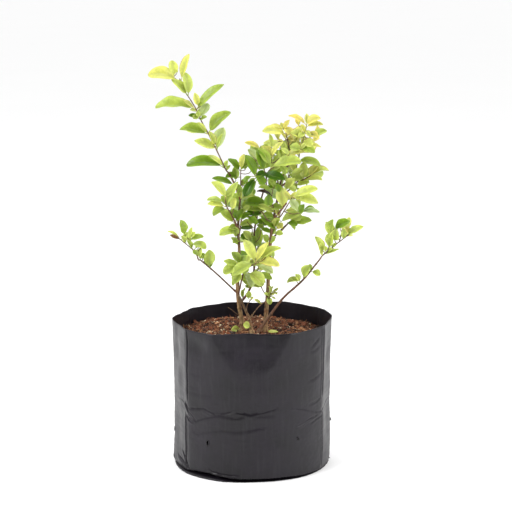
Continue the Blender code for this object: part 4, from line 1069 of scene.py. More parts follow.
class Sheaf:
    """Gathers closed shapes of one kind into one mesh, each face with its own material."""

    def __init__(self, name):
        self.name = name
        self.points = []
        self.faces = []
        self.kinds = []
        self.marks = []
        self.count = 0

    def add(self, points, faces, kind, marks=None):
        """kind is one material name for all faces or a list of them, and marks are the points' UVs."""
        points = np.asarray(points, dtype=float).reshape(-1, 3)
        self.points.append(points)
        start = self.count
        self.faces += [tuple(start + i for i in face) for face in faces]
        self.kinds += [kind] * len(faces) if isinstance(kind, str) else list(kind)
        self.marks.append(np.zeros((len(points), 2)) if marks is None else np.asarray(marks))
        self.count += len(points)

    def object(self, finishes, nodes=(), smooth=True):
        mesh = bpy.data.meshes.new(self.name)
        mesh.from_pydata(np.concatenate(self.points), [], self.faces)
        used = sorted(set(self.kinds))
        for kind in used:
            mesh.materials.append(finishes[kind])
        order = {kind: i for i, kind in enumerate(used)}
        mesh.polygons.foreach_set("material_index", [order[kind] for kind in self.kinds])
        corners = np.zeros(len(mesh.loops), dtype=np.int32)
        mesh.loops.foreach_get("vertex_index", corners)
        layer = mesh.uv_layers.new(name="UVMap")
        layer.data.foreach_set("uv", np.concatenate(self.marks)[corners].ravel())
        if smooth:
            mesh.shade_smooth()
        piece = bpy.data.objects.new(self.name, mesh)
        bpy.context.scene.collection.objects.link(piece)
        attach(piece, "root")
        if nodes:
            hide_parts(*nodes)
        return piece


# The fine leaf: columns across and rows along, the blade's thickness and the petiole, in metres
COLUMNS = (-1.0, -0.93, -0.62, -0.30, -0.06, 0.06, 0.30, 0.62, 0.93, 1.0)
ROWS = 17
BLADE_THICK = 0.00030
PETIOLE_SHARE = 0.11
PETIOLE_RADIUS = 0.00052
PETIOLE_SIDES = 6
PETIOLE_RINGS = (0.0, 0.3, 0.65, 1.0, 1.25)
LEAF_FULLNESS = 1.06
LEAST_HALF_WIDTH = 0.00035
KEEL_DEPTH = 0.00034

# Ranges of what differs from leaf to leaf: fold and twist in degrees, curl as a share of the half width,
# ripple as a share of the width, how many waves, sideways lean as a share of the length, and the shape
LEAF_FOLD = (14, 34)
LEAF_CURL = (-0.12, 0.16)
LEAF_RIPPLE = (0.012, 0.04)
LEAF_WAVES = (1.2, 2.6)
LEAF_TWIST = (-16, 16)
LEAF_LEAN = (-0.05, 0.05)
LEAF_BROADEST = (0.35, 0.75)


def blade_faces():
    """The faces of every fine leaf, and which part of it each belongs to."""
    wide = len(COLUMNS)
    under = ROWS * wide
    faces, parts = [], []
    for row in range(ROWS - 1):
        for column in range(wide - 1):
            a = row * wide + column
            faces.append((a, a + 1, a + 1 + wide, a + wide))
            faces.append((under + a, under + a + wide, under + a + wide + 1, under + a + 1))
            rib = column == wide // 2 - 1
            rim = column in (0, wide - 2)
            parts += ["vein" if rib else "rim" if rim else "upper", "rib" if rib else "under"]
    for row in range(ROWS - 1):
        a, b = row * wide, row * wide + wide - 1
        faces.append((a, a + wide, under + a + wide, under + a))
        faces.append((b, under + b, under + b + wide, b + wide))
        parts += ["rim", "rim"]
    last = (ROWS - 1) * wide
    for column in range(wide - 1):
        faces.append((column, under + column, under + column + 1, column + 1))
        a = last + column
        faces.append((a, a + 1, under + a + 1, under + a))
        parts += ["vein", "rim"]
    return faces, parts


BLADE_FACES, BLADE_PARTS = blade_faces()


def blade_width(share, broadest):
    """The blade's half width, as a share of its widest, from a wedge base to an acute tip."""
    a = 0.62 + 0.5 * broadest
    b = 1.12 - 0.5 * broadest
    top = (a / (a + b)) ** a * (b / (a + b)) ** b
    return max(0.0, share) ** a * max(0.0, 1 - share) ** b / top


def fine_leaf(sheaf, leaf, draw, tints):
    """Adds one fine leaf: its petiole, and a folded, rippled blade with a midrib."""
    fold = math.radians(draw.uniform(*LEAF_FOLD))
    curl = draw.uniform(*LEAF_CURL)
    ripple = leaf.width * draw.uniform(*LEAF_RIPPLE)
    waves = draw.uniform(*LEAF_WAVES)
    phase = draw.uniform(0, 2 * math.pi)
    twist = math.radians(draw.uniform(*LEAF_TWIST))
    lean = draw.uniform(*LEAF_LEAN) * leaf.length
    broadest = draw.uniform(*LEAF_BROADEST)
    tops, unders, marks = [], [], []
    for row in range(ROWS):
        share = row / (ROWS - 1)
        along = PETIOLE_SHARE + (1 - PETIOLE_SHARE) * share
        middle, ahead, over, across = leaf_frame(leaf, along)
        turn = Matrix.Rotation(twist * share, 3, ahead)
        across, over = turn @ across, turn @ over
        middle = middle + across * lean * math.sin(math.pi * share) * 0.5
        half = leaf.width / 2 * LEAF_FULLNESS * blade_width(0.02 + 0.965 * share, broadest)
        half = max(half, LEAST_HALF_WIDTH)
        for column in COLUMNS:
            out = half * column
            rise = half * (math.sqrt(column**2 + 0.01) - 0.1) * math.tan(fold)
            rise += curl * half * column**2
            rise += ripple * column**2 * math.sin(waves * 2 * math.pi * share + phase + column)
            spot = middle + across * out + over * rise
            thick = BLADE_THICK * (1.0 - 0.6 * abs(column))
            keel = KEEL_DEPTH * (1 - share * 0.75) if abs(column) < 0.1 else 0.0
            tops.append(spot + over * thick / 2)
            unders.append(spot - over * (thick / 2 + keel))
            marks.append((0.5 + column / 2, along))
    kinds = [tints[part] for part in BLADE_PARTS]
    sheaf.add(tops + unders, BLADE_FACES, kinds, marks + marks)
    rings = []
    for share in PETIOLE_RINGS:
        middle, ahead, over, across = leaf_frame(leaf, PETIOLE_SHARE * share)
        radius = PETIOLE_RADIUS * (1.25 - 0.35 * share) * (0.6 + 0.4 * min(1.0, leaf.length / 0.03))
        sunk = over * -0.0001 * share
        rings.append(ring_round(middle + sunk, ahead, radius, PETIOLE_SIDES, across))
    sheaf.add(*loft(rings), tints["petiole"])


LEAF_PARTS = ("upper", "under", "vein", "rib", "rim", "petiole")


def leaf_tints(tone, draw):
    """The materials of one leaf's parts for a tone from 0 to 6, or under 0 for a dead leaf."""
    if tone < 0:
        return dict.fromkeys(LEAF_PARTS, (DEAD if tone > -2 else WITHERED)[0])
    tone = min(6.0, max(0.0, tone + draw.gauss(0, 0.25)))
    step = int(round(tone / 6.0 * (len(TINTS) - 1)))
    upper = TINTS[step][0]
    under = UNDERSIDES[0 if tone < 1.8 else 1 if tone < 4.3 else 2][0]
    vein = VEINS[0 if tone < 1.2 else 1 if tone < 2.6 else 2][0]
    rim = upper
    if tone > 3.2 and draw.random() < 0.35:
        rim = RUSSET[0]
    elif draw.random() < 0.4:
        rim = TINTS[min(len(TINTS) - 1, step + 1)][0]
    petiole = "petiole_green" if tone < 3.4 else "petiole_yellow"
    return {"upper": upper, "under": under, "vein": vein, "rib": vein, "rim": rim, "petiole": petiole}


def foot_point(limb, routes):
    """Where a limb's fine form begins: inside its parent, or under the mix's surface."""
    if limb.parent is None:
        return routes[limb.name].points[0] - UP * FOOT_DEPTH
    return at_height(routes[limb.parent].points, limb.from_height * MM)


# The bark's relief: how far apart its rings and its nodes are, how wide a node is, and by what share of the
# radius nodes, leaf scars, wrinkles and fissures stand out
BARK_STEP = 0.0009
BARK_SIDES = 22
NODE_SPACING = 0.021
NODE_WIDTH = 0.0016
NODE_HEIGHT = 0.16
SCAR_HEIGHT = 0.16
WRINKLE_HEIGHT = 0.07
FISSURE_HEIGHT = 0.05
FOOT_DEPTH = 0.006
LIMB_COLLAR = 0.55


def bark_tube(sheaf, points, radii, kind, draw, step, sides, collar, nodes, soil=False):
    """A round limb with swollen nodes, leaf scars, long fissures and a flared foot."""
    foot, tip = radii
    fine = spline(points, step)
    across = None
    rings = []
    seed = draw.uniform(0, 50)
    walked = 0.0
    total = sum((b - a).length for a, b in zip(fine, fine[1:]))
    offset = draw.uniform(0.3, 0.9) * nodes
    for i, point in enumerate(fine):
        if i:
            walked += (point - fine[i - 1]).length
        along = (fine[min(len(fine) - 1, i + 1)] - fine[max(0, i - 1)]).normalized()
        across = across or along.orthogonal()
        across = (across - along * across.dot(along)).normalized()
        over = along.cross(across)
        share = walked / total
        radius = foot + (tip - foot) * share
        near = abs((walked - offset + nodes / 2) % nodes - nodes / 2)
        node = math.exp(-((near / NODE_WIDTH) ** 2))
        radius *= 1 + NODE_HEIGHT * node - 0.05 * math.exp(-(((near - 0.0026) / 0.0009) ** 2))
        radius *= 1 + collar * math.exp(-walked / (1.6 * foot))
        flare = ROOT_FLARE * math.exp(-max(0.0, walked - FOOT_DEPTH) / ROOT_FLARE_LENGTH) if soil else 0.0
        count = int(walked / nodes)
        ring = []
        for k in range(sides):
            angle = 2 * math.pi * k / sides
            way = across * math.cos(angle) + over * math.sin(angle)
            reach = radius * (1 + flare * (1 + 0.35 * math.sin(3 * angle + seed)))
            scar = node * max(0.0, math.cos(2 * (angle - count * math.pi / 2))) ** 4
            round_x, round_y = math.cos(angle), math.sin(angle)
            wrinkle = noise.noise(Vector((round_x * 2.2, round_y * 2.2, walked * 150 + seed)))
            fissure = noise.noise(Vector((round_x * 6, round_y * 6, walked * 420 + seed)))
            reach *= 1 + WRINKLE_HEIGHT * wrinkle + FISSURE_HEIGHT * fissure + SCAR_HEIGHT * scar
            ring.append(point + way * reach)
        rings.append(ring)
    tipped = fine[-1] + (fine[-1] - fine[-2]).normalized() * tip * 0.5
    rings.append([tipped.lerp(p, 0.55) for p in rings[-1]])
    marks = [(k / sides, i / len(rings)) for i in range(len(rings)) for k in range(sides)]
    sheaf.add(*loft(rings), kind, marks)


TAN_STEMS = ("stem_left", "stem_right", "stem_twin")


def grow_stems(finishes, routes):
    """Each limb as its own piece of bark, its foot sunk into what carries it."""
    for limb in LIMBS:
        draw = random.Random(limb.name)
        sheaf = Sheaf(limb.name + "_bark")
        points = [foot_point(limb, routes), *routes[limb.name].points]
        if limb.name == "stem_twin":
            points.append(at_height(routes["stem_left"].points, points[-1].z + FOOT_DEPTH))
        if limb.parent is not None:
            points = [points[0], *points[2:]]
        kind = "bark_old" if limb.name in TAN_STEMS else "bark_young"
        at_soil = limb.parent is None
        bark_tube(sheaf, points, (limb.foot_radius * MM, limb.tip_radius * MM), kind, draw, BARK_STEP,
                  BARK_SIDES, 0.0 if at_soil else LIMB_COLLAR, NODE_SPACING, at_soil)
        sheaf.object(finishes, [limb.name])


# Seen twigs, the rule's twigs, and the stalks of leaves that stand off their twig, in metres
SHOWN_TWIG_RADII = (0.00085, 0.00055)
SHOWN_SIDE_RADII = (0.00062, 0.00042)
RULE_TWIG_FOOT = 0.86
RULE_TWIG_TIP = 0.72
TWIG_NODES = 0.012
TWIG_BARK_SIDES = 10
TWIG_COLLAR = 0.25
STALK_RADII = (0.00048, 0.00040)
STALK_NODES = 0.006
STALK_SIDES = 8
STALK_COLLAR = 0.3
STALK_SAG = 0.08
FINE_STEP = 0.0016
LEAST_STALK = 0.0008
LONGEST_STALK = 0.016
LONGEST_SHOWN_STALK = 0.022
LEAST_LEAD = 0.0005

# A seen leaf's real width: mm to a picture point, and the least share of it that turning leaves to see
MM_PER_POINT = 1.25
LEAST_SHOWN_WIDTH = 0.6
DEPTH_STEPS = 10

# How far a leaf's tone follows its place along its mass's stem, and how far its age
TONE_BY_PLACE = 0.6
TONE_BY_AGE = 0.4

# Which of the rule's leaves stay in a mass that is all shown: those that turn back behind the stems, and
# those that the shown leaves cover at most of these shares of their length
BACKWARD = 0.2
BEHIND = -0.002
COVER_SHARES = (0.3, 0.55, 0.8, 1.0)

# Masses whose shown leaves are only a part of them: the rule's leaves fill in all round
FILLED = ("low_middle", "low_right")
ALL_SHOWN = [name for name in SEEN_LEAVES if name not in FILLED]


def view_axes():
    """The picture's middle direction and its upward one, each as Y and Z."""
    tilt = math.radians(CAMERA_DOWN)
    return (math.cos(tilt), -math.sin(tilt)), (math.sin(tilt), math.cos(tilt))


def place_of(x, y, depth):
    """The place in mm that shows at a picture point and lies at a depth in mm."""
    ahead, over = view_axes()
    across, rise = (x - PICTURE_MIDDLE) / PICTURE_METRE, (PICTURE_MIDDLE - y) / PICTURE_METRE
    ray = (across, ahead[0] + over[0] * rise, ahead[1] + over[1] * rise)
    reach = (depth / 1000 - CAMERA_PLACE[1]) / ray[1]
    return [(start + way * reach) * 1000 for start, way in zip(CAMERA_PLACE, ray)]


def point_of(place):
    """The picture point at which a place in mm shows."""
    ahead, over = view_axes()
    x, y, z = (value / 1000 - start for value, start in zip(place, CAMERA_PLACE))
    reach = y * ahead[0] + z * ahead[1]
    return (PICTURE_MIDDLE + PICTURE_METRE * x / reach,
            PICTURE_MIDDLE - PICTURE_METRE * (y * over[0] + z * over[1]) / reach)


def whole(place):
    """A place in mm as one in metres on whole millimetres."""
    return Vector([round(value) for value in place]) * MM


def depth_beside(x, y, lines):
    """The depth in mm of the spot on any of the lines that shows nearest to a picture point."""
    best = (math.inf, 0.0)
    for line in lines:
        for a, b in zip(line, line[1:]):
            for k in range(DEPTH_STEPS + 1):
                spot = [start + (end - start) * k / DEPTH_STEPS for start, end in zip(a, b)]
                seen_x, seen_y = point_of(spot)
                away = math.hypot(seen_x - x, seen_y - y)
                if away < best[0]:
                    best = (away, spot[1])
    return best[1]


def shown_leaf(seen, lines):
    """The leaf that one row tells of, as an arc from its root to its tip."""
    depth = depth_beside(seen.x, seen.y, lines) if seen.depth is None else seen.depth
    root = whole(place_of(seen.x, seen.y, depth))
    tip = whole(place_of(seen.tip_x, seen.tip_y, depth + seen.lean))
    facing = math.radians(seen.facing)
    width = round(seen.width * MM_PER_POINT / max(LEAST_SHOWN_WIDTH, abs(math.sin(facing))))
    chord = (tip - root).normalized()
    skyward = (UP - chord * UP.dot(chord)).normalized()
    outward = (VIEWER - chord * VIEWER.dot(chord)).normalized()
    upper = (skyward * math.cos(facing) + outward * math.sin(facing)).normalized()
    arch = math.radians(seen.arch)
    length = (tip - root).length * (arch / 2) / math.sin(arch / 2)
    along = chord * math.cos(arch / 2) + upper * math.sin(arch / 2)
    over = upper * math.cos(arch / 2) - chord * math.sin(arch / 2)
    return Leaf(root, along, over, length, width * MM, arch, 0.5, chord)


def nearest_spot(point, lines):
    """The point on any of the lines that is nearest to the point given."""
    best = None
    for line in lines:
        for a, b in zip(line, line[1:]):
            run = b - a
            t = min(1.0, max(0.0, (point - a).dot(run) / run.length_squared))
            spot = a + run * t
            if best is None or (spot - point).length < (best - point).length:
                best = spot
    return best


def stalk_to(leaf, lines):
    """The short twig that carries a leaf whose root stands off its twig, or None."""
    spot = nearest_spot(leaf.root, lines)
    away = (leaf.root - spot).length
    if away < LEAST_STALK:
        return None
    ahead = leaf.root + leaf.along * LEAST_STALK
    middle = spot.lerp(leaf.root, 0.5) - UP * away * STALK_SAG
    return [spot, middle, leaf.root, ahead]


def shown_growth(mass, routes):
    """The twigs and leaves of a mass that show, as lines with radii and as leaves with tones."""
    limb_lines = [route.points for route in routes.values()]
    seen_lines = [[place_of(*spot) for spot in line] for line in SEEN_TWIGS.get(mass.name, ())]
    twigs = []
    for k, line in enumerate(seen_lines):
        points = [whole(spot) for spot in line]
        near = nearest_spot(points[0], [*limb_lines, *(own for own, _ in twigs)])
        if (near - points[0]).length > LEAST_LEAD:
            points.insert(0, near)
        twigs.append((points, SHOWN_SIDE_RADII if k else SHOWN_TWIG_RADII))
    lines = [*seen_lines, *CARRIERS.get(mass.name, ())]
    seen = [Seen(*row) for row in SEEN_LEAVES[mass.name]]
    return twigs, [(shown_leaf(row, lines), row.tone) for row in seen]


def screen_of(shown):
    """All shown leaves as one test tree, which hides what lies behind it."""
    points, faces = [], []
    for _, leaves in shown.values():
        for leaf, _ in leaves:
            more, sides = leaf_shape(leaf)
            faces += [tuple(len(points) + i for i in side) for side in sides]
            points += more
    return BVHTree.FromPolygons(points, faces)


def covered(leaf, screen):
    """Whether the shown leaves hide a leaf from the viewer."""
    hidden = 0
    for share in COVER_SHARES:
        spot = leaf_frame(leaf, share)[0] + VIEWER * GAP
        hidden += screen.ray_cast(spot, VIEWER)[0] is not None
    return hidden >= len(COVER_SHARES) - 1


def kept_leaves(grown, shown, screen):
    """The rule's leaves that touch nothing shown and, where a mass is all shown, stand behind it."""
    front = [tree_of(*leaf_shape(leaf)) for _, leaves in shown.values() for leaf, _ in leaves]
    kept = {}
    rest = []
    for mass in MASSES:
        leaves = grown[mass.name][1]
        if mass.name in ALL_SHOWN:
            leaves = [leaf for leaf in leaves if covered(leaf, screen)
                      or leaf.along.y > BACKWARD and leaf_frame(leaf, 1.0)[0].y > BEHIND]
        kept[mass.name] = [leaf for leaf in leaves if not touches(tree_of(*leaf_shape(leaf)), front)]
        rest += [tree_of(*leaf_shape(leaf)) for leaf in kept[mass.name]]
    return kept, front + rest


def rule_lines(mass, twigs, routes):
    """The rule's own twigs of a mass as lines with radii, its stem led back to its limb."""
    limb_line = routes[mass.limb].points
    foot = at_height(limb_line, mass.height * MM) if mass.height else limb_line[-1]
    lines = []
    for k, twig in enumerate(twigs):
        points = [foot, *twig.route.points] if k == 0 else list(twig.route.points)
        lines.append((points, (twig.foot * RULE_TWIG_FOOT, twig.tip * RULE_TWIG_TIP)))
    return lines


def add_stalk(sheaf, points, radii, kind, draw):
    """A short fine shoot."""
    bark_tube(sheaf, points, radii, kind, draw, FINE_STEP, STALK_SIDES, STALK_COLLAR, STALK_NODES)


def dress_masses(finishes, routes, grown, limb_trees):
    """Each mass as fine twigs and fine leaves, in two pieces: what shows first, then the rest by rule."""
    shown = {mass.name: shown_growth(mass, routes) for mass in MASSES if mass.name in SEEN_LEAVES}
    screen = screen_of(shown)
    kept, leaf_trees = kept_leaves(grown, shown, screen)
    trees = limb_trees + leaf_trees
    far_lines = [points for lines, _ in shown.values() for points, _ in lines]
    far_lines += [route.points for route in routes.values()]
    for mass in MASSES:
        draw = random.Random(mass.seed + 2000)
        low, high = mass.tones
        twigs, leaves = grown[mass.name]
        wood = Sheaf("twigs_" + mass.name)
        blades = Sheaf("blades_" + mass.name)
        bark = "twig_brown" if high < 5.0 else "twig_green"
        lines, fine = shown.get(mass.name, ([], []))
        small, shoots = finer_growth(mass, twigs, leaves, trees)
        if mass.name in ALL_SHOWN:
            small = [leaf for leaf in small if covered(leaf, screen)]
            shoots = []
        else:
            lines = lines + rule_lines(mass, twigs, routes)
        for points, radii in lines:
            bark_tube(wood, points, radii, bark, draw, FINE_STEP, TWIG_BARK_SIDES, TWIG_COLLAR, TWIG_NODES)
        for twig in shoots:
            add_stalk(wood, twig.route.points, (twig.foot, twig.tip), "twig_green", draw)
        carriers = [points for points, _ in lines] + far_lines
        for leaf, tone in fine:
            stalk = stalk_to(leaf, carriers)
            if stalk and (stalk[0] - stalk[2]).length < LONGEST_SHOWN_STALK:
                add_stalk(wood, stalk, STALK_RADII, "twig_green", draw)
            fine_leaf(blades, leaf, draw, leaf_tints(tone, draw))
        stem = twigs[0].route.points
        for leaf in kept[mass.name] + small:
            stalk = stalk_to(leaf, carriers) if mass.name in ALL_SHOWN else None
            if stalk and (stalk[0] - stalk[2]).length > LONGEST_STALK:
                continue
            if stalk:
                add_stalk(wood, stalk, STALK_RADII, bark, draw)
            place = nearest(stem, leaf.root)[1]
            run = min(1.0, place * TONE_BY_PLACE + leaf.age * TONE_BY_AGE)
            fine_leaf(blades, leaf, draw, leaf_tints(low + (high - low) * run, draw))
        if wood.count:
            wood.object(finishes)
        blades.object(finishes, ["leaves_" + mass.name])


# The bag's form, with the source's own sizes but for the gussets' edges and the foot
BAG_CREASES = (-90.0, -53.0, 61.5, 90.0)
CREASE_WIDTH = 7.0
CREASE_DEPTH = 0.012
RIM_WAVE = 0.0012
RIM_TILT = 0.0010

# How much higher or lower the rim is than its even wave: bearing and mm
RIM_LIFTS = (
    (-180, -0.5), (-165, -0.4), (-155, -1.2), (-140, -1.2), (-128, 0.2), (-118, -0.4), (-108, -0.7),
    (-100, 0.6), (-92, 1.1), (-80, 0.6), (-60, 0.0), (0, 0.0), (70, 0.3), (88, 1.2), (100, 2.6),
    (110, 2.4), (120, 1.1), (135, 0.5), (150, 0.6), (165, 0.8), (180, -0.5),
)

# The wall's reach as a share of the bag's radius, at shares of its height
BAG_PROFILE = (
    (0.000, 0.955), (0.010, 0.960), (0.060, 0.974), (0.150, 0.978), (0.270, 0.979), (0.620, 0.984),
    (0.900, 0.994), (1.000, 1.000),
)

# Flat strips between two bearings from the front, and how far they lie inside the round in metres
FACETS = ((-90.0, -52.5, 0.0026), (61.0, 90.0, 0.0014), (90.0, 118.0, 0.0024), (-124.0, -90.0, 0.0034))

# Creases in the film: half width and depth in mm, then points as bearing from the front and height in mm
CREASES = (
    (0.85, 1.4, ((-52.5, 188), (-52.5, 160), (-52.5, 120), (-53.5, 92))),
    (0.9, -0.8, ((-54.6, 188), (-54.6, 160), (-54.6, 120), (-55, 98))),
    (1.0, 1.2, ((-57.5, 78), (-57.5, 50), (-57.5, 20), (-57, 6))),
    (0.9, -0.6, ((-55.4, 76), (-55.4, 50), (-55.4, 20))),
    (1.3, 1.3, ((61, 188), (61.5, 140), (62, 95))),
    (1.1, -0.7, ((63.6, 188), (64, 140), (64.5, 95))),
    (1.3, 1.2, ((63.5, 78), (63.5, 40), (63, 8))),
    (1.7, 0.7, ((-75, 90), (-66, 92), (-58, 89), (-52, 85), (-44, 87), (-37, 89), (-32, 86), (-27, 84),
                (-19, 87), (-11, 91), (-6, 89), (-1, 87), (4, 89), (9, 91), (14, 93), (20, 95))),
    (1.2, 0.5, ((28, 91), (40, 87), (54, 79), (60, 78), (66, 81), (78, 86), (90, 84))),
    (1.7, 0.55, ((-54, 75), (-48, 70), (-44, 71), (-37, 76), (-30, 80), (-22, 83), (-14, 82), (-8, 83),
                 (-3, 86))),
    (1.7, 0.35, ((0, 84), (9, 85), (17, 84))),
    (1.9, 0.35, ((-49, 56), (-42, 55), (-32, 60), (-22, 64), (-12, 64), (-3, 66), (4, 69), (12, 71))),
    (1.1, 0.8, ((33, 67), (40, 69), (47, 73), (56, 75))),
    (1.0, 0.6, ((47, 66), (54, 70), (63, 72))),
    (1.2, 1.4, ((-62, 95), (-57, 87), (-52, 80), (-47, 74), (-44, 71))),
    (0.9, 0.8, ((-58, 79), (-55, 74), (-52, 70), (-46, 67))),
    (2.0, 0.22, ((-53, 114), (-46, 113), (-40, 114))),
    (2.0, 0.22, ((-54, 106), (-38, 105), (-27, 108))),
    (2.0, 0.22, ((-51, 131), (-44, 129), (-37, 129))),
    (1.3, 0.6, ((46, 163), (51, 168), (57, 174))),
    (1.3, 0.5, ((45, 157), (51, 159), (57, 162))),
    (1.4, 0.5, ((43, 120), (51, 123), (60, 128))),
    (1.4, 0.6, ((45, 91), (52, 92), (60, 96))),
    (1.4, 1.6, ((-76, 16), (-69, 14), (-61, 12), (-53, 8))),
    (1.1, 1.1, ((-66, 26), (-60, 18), (-55, 12), (-52, 5))),
    (1.1, 1.0, ((-34, 13), (-29, 10), (-19, 10), (-8, 11))),
    (1.0, 0.9, ((-29, 11), (-24, 8), (-19, 5))),
    (1.5, 0.7, ((118, 120), (135, 112), (160, 116), (178, 108))),
    (1.4, 0.9, ((-170, 88), (-150, 91), (-120, 86), (-100, 91), (-90, 90))),
    (1.4, 0.8, ((95, 92), (118, 87), (140, 90), (165, 84), (182, 88))),
    (1.2, 0.8, ((118, 186), (118, 120), (119, 30))),
    (1.2, 0.8, ((-124, 186), (-124, 120), (-123, 30))),
    (1.5, 0.9, ((-176, 40), (-160, 48), (-140, 44), (-126, 52))),
)

# The depth in mm from which a crease's gloss is turned down all through, as painted shade
GROOVE_DARK = 1.1

# Broad dents and swells: bearing, height, half width in degrees, half height in mm, and how far out in mm
DENTS = (
    (-30, 172, 5, 16, 1.2), (-43, 166, 8, 11, -2.2), (-42, 184, 9, 9, 1.2), (32, 176, 6, 18, 1.0),
    (46, 160, 9, 20, 1.0), (54, 140, 6, 30, 1.2), (-50, 128, 8, 22, 0.9), (0, 118, 26, 26, 1.0),
    (-75, 158, 6, 20, -1.4), (-80, 176, 5, 12, 1.2), (76, 150, 6, 22, -1.0), (-72, 118, 6, 14, 1.0),
    (77, 60, 6, 20, -0.9), (-74, 50, 6, 22, -0.9), (-120, 170, 14, 22, -2.0), (120, 160, 14, 26, -1.6),
    (172, 176, 16, 22, -2.4), (-158, 140, 16, 30, 1.4), (150, 120, 14, 26, 1.2), (20, 40, 20, 18, 0.6),
    (-26, 30, 14, 14, -0.6), (-92, 2, 30, 32, 3.0), (88, 6, 26, 42, 2.0), (-87, 10, 2.2, 2.2, 1.2),
)

# Fine ripples: how far out in metres, and how many to a radian and to a metre
RIPPLES = ((0.00060, 3.2, 45), (0.00014, 5.0, 210), (0.00012, 22, 330))

# The film leans back above a fold like a V: bearing and height in mm along it, and how much it leans
LEANING = (
    (-180, 230), (-31, 187), (-21, 157), (-13, 141), (-6, 137), (4, 137), (11, 141), (20, 157), (28, 184),
    (60, 230), (180, 230),
)
LEAN = 0.135
LEAN_ROUNDING = 3.0

# The slot under the bag's lower edge: bearing, height of its upper lip, height of its lower lip, depth and
# how far out the lower lip lies, in mm
SLOT = (
    (-180, 1.6, 0.4, 3.0, 93.0), (-120, 1.6, 0.4, 2.5, 96.0), (-92, 1.4, 0.4, 1.0, 98.2),
    (-75, 1.4, 0.6, 1.0, 98.8), (-62, 1.8, 0.9, 2.0, 100.2), (-56, 2.6, 1.3, 4.0, 100.8),
    (-51, 4.1, 1.8, 8.0, 100.9), (-46, 5.6, 2.1, 11.0, 100.6), (-37, 6.6, 2.2, 13.0, 100.2),
    (-31, 6.5, 2.2, 13.0, 100.0), (-26, 5.6, 2.0, 12.0, 100.0), (-21, 4.7, 1.5, 10.0, 99.8),
    (-17, 4.0, 0.5, 8.0, 98.6), (-8, 3.9, 0.3, 8.0, 96.6), (0, 4.3, 0.3, 8.0, 95.0),
    (8, 4.6, 0.3, 8.0, 94.0), (25, 4.3, 0.3, 8.0, 94.6), (36, 3.4, 0.3, 6.0, 96.2),
    (47, 2.4, 0.3, 3.5, 96.7), (60, 1.5, 0.3, 1.5, 96.5), (75, 1.2, 0.3, 0.8, 97.1),
    (88, 1.2, 0.3, 0.8, 98.2), (110, 1.2, 0.3, 1.0, 97.0), (140, 2.2, 0.4, 4.0, 94.0),
    (180, 1.6, 0.4, 3.0, 93.0),
)

WALL_MM_PER_DEGREE = BAG_RADIUS / MM * math.pi / 180
BAG_HEM = 0.0070

# Drain holes: bearing from the front, height and half height in mm
DRAIN_HOLES = (
    (-88.0, 41.7, 2.0), (-33.8, 46.4, 2.8), (35.5, 50.9, 1.8), (90.0, 53.0, 1.8), (86.0, 5.0, 1.4),
    (150, 45, 2.2), (-152, 50, 2.2), (-110, 47, 2.0),
)
HOLE_SLIMNESS = 0.55
HOLE_DEPTH = 0.0004
LIP_SIDES = 22
LIP_FACES = 5
LIP_RADIUS = 0.00034
SHREDS = 3


def away_from(bearing, place):
    return (bearing - place + 180.0) % 360.0 - 180.0


def along_bearings(bearing, table):
    """The values of a table of pairs at bearings from the front."""
    return np.interp(away_from(bearing, 0.0), [row[0] for row in table], [row[1] for row in table])


def hill(value, middle, width):
    return np.exp(-(((value - middle) / width) ** 2))


def crease_place(across, up, points):
    """How far each place lies to the side of a line of points, in mm, and how strong the crease is there."""
    best = np.full(across.shape, 1e9)
    signed = np.zeros(across.shape)
    walked = np.zeros(across.shape)
    length = 0.0
    line = [np.array((x * WALL_MM_PER_DEGREE, z), dtype=float) for x, z in points]
    for a, b in zip(line, line[1:]):
        run = b - a
        reach = float(np.hypot(*run))
        t = np.clip(((across - a[0]) * run[0] + (up - a[1]) * run[1]) / reach**2, 0, 1)
        dx, dz = across - a[0] - run[0] * t, up - a[1] - run[1] * t
        far = np.hypot(dx, dz)
        side = np.sign(run[0] * dz - run[1] * dx)
        near = far < best
        signed = np.where(near, far * side, signed)
        walked = np.where(near, length + t * reach, walked)
        best = np.minimum(best, far)
        length += reach
    fade = np.clip(np.minimum(walked, length - walked) / min(9.0, length / 2.2), 0, 1) ** 0.7
    return signed, np.where(best > np.abs(signed) + 1e-9, 0.0, fade)


def crease_relief(across, up, half_width, depth, points):
    """A groove with a ridge under it along a line of points. across and up are grids in mm."""
    signed, fade = crease_place(across, up, points)
    groove = hill(signed, 0.0, half_width)
    ridge = hill(signed, -1.9 * half_width, 1.2 * half_width)
    return (0.5 * ridge - groove) * depth * fade * MM


def crease_gloss_shade(bearing, height):
    """How deep in a crease each place of the film lies, from 0 to 1, where its gloss is turned down as
    painted shade.
    """
    deep = np.zeros(bearing.shape)
    for half_width, depth, points in CREASES:
        signed, fade = crease_place(bearing * WALL_MM_PER_DEGREE, height / MM, points)
        deep = np.maximum(deep, hill(signed, 0.0, half_width * 0.8) * fade * min(1.0, depth / GROOVE_DARK))
    return deep


def film_relief(bearing, height):
    """How far the film stands out from its smooth form, on grids of bearing and height in metres."""
    up = height / MM
    across = bearing * WALL_MM_PER_DEGREE
    out = np.zeros(bearing.shape)
    for start, end, sag in FACETS:
        t = np.clip((bearing - start) / (end - start), 0, 1)
        out -= sag * np.sin(math.pi * t)
    for half_width, depth, points in CREASES:
        out += crease_relief(across, up, half_width, depth, points)
    for place, middle, wide, tall, far in DENTS:
        out += far * MM * hill(away_from(bearing, place), 0, wide) * hill(up, middle, tall)
    above = up - along_bearings(bearing, LEANING)
    out -= LEAN * MM * (np.sqrt(above**2 + LEAN_ROUNDING**2) + above) / 2
    turn = np.radians(bearing)
    ripple = np.array([
        sum(far * noise.noise((math.sin(a) * wide, math.cos(a) * wide, z * tall))
            for far, wide, tall in RIPPLES)
        for a, z in zip(turn.ravel(), height.ravel())])
    return out + ripple.reshape(bearing.shape) * np.clip(up / 6.0, 0.2, 1.0)


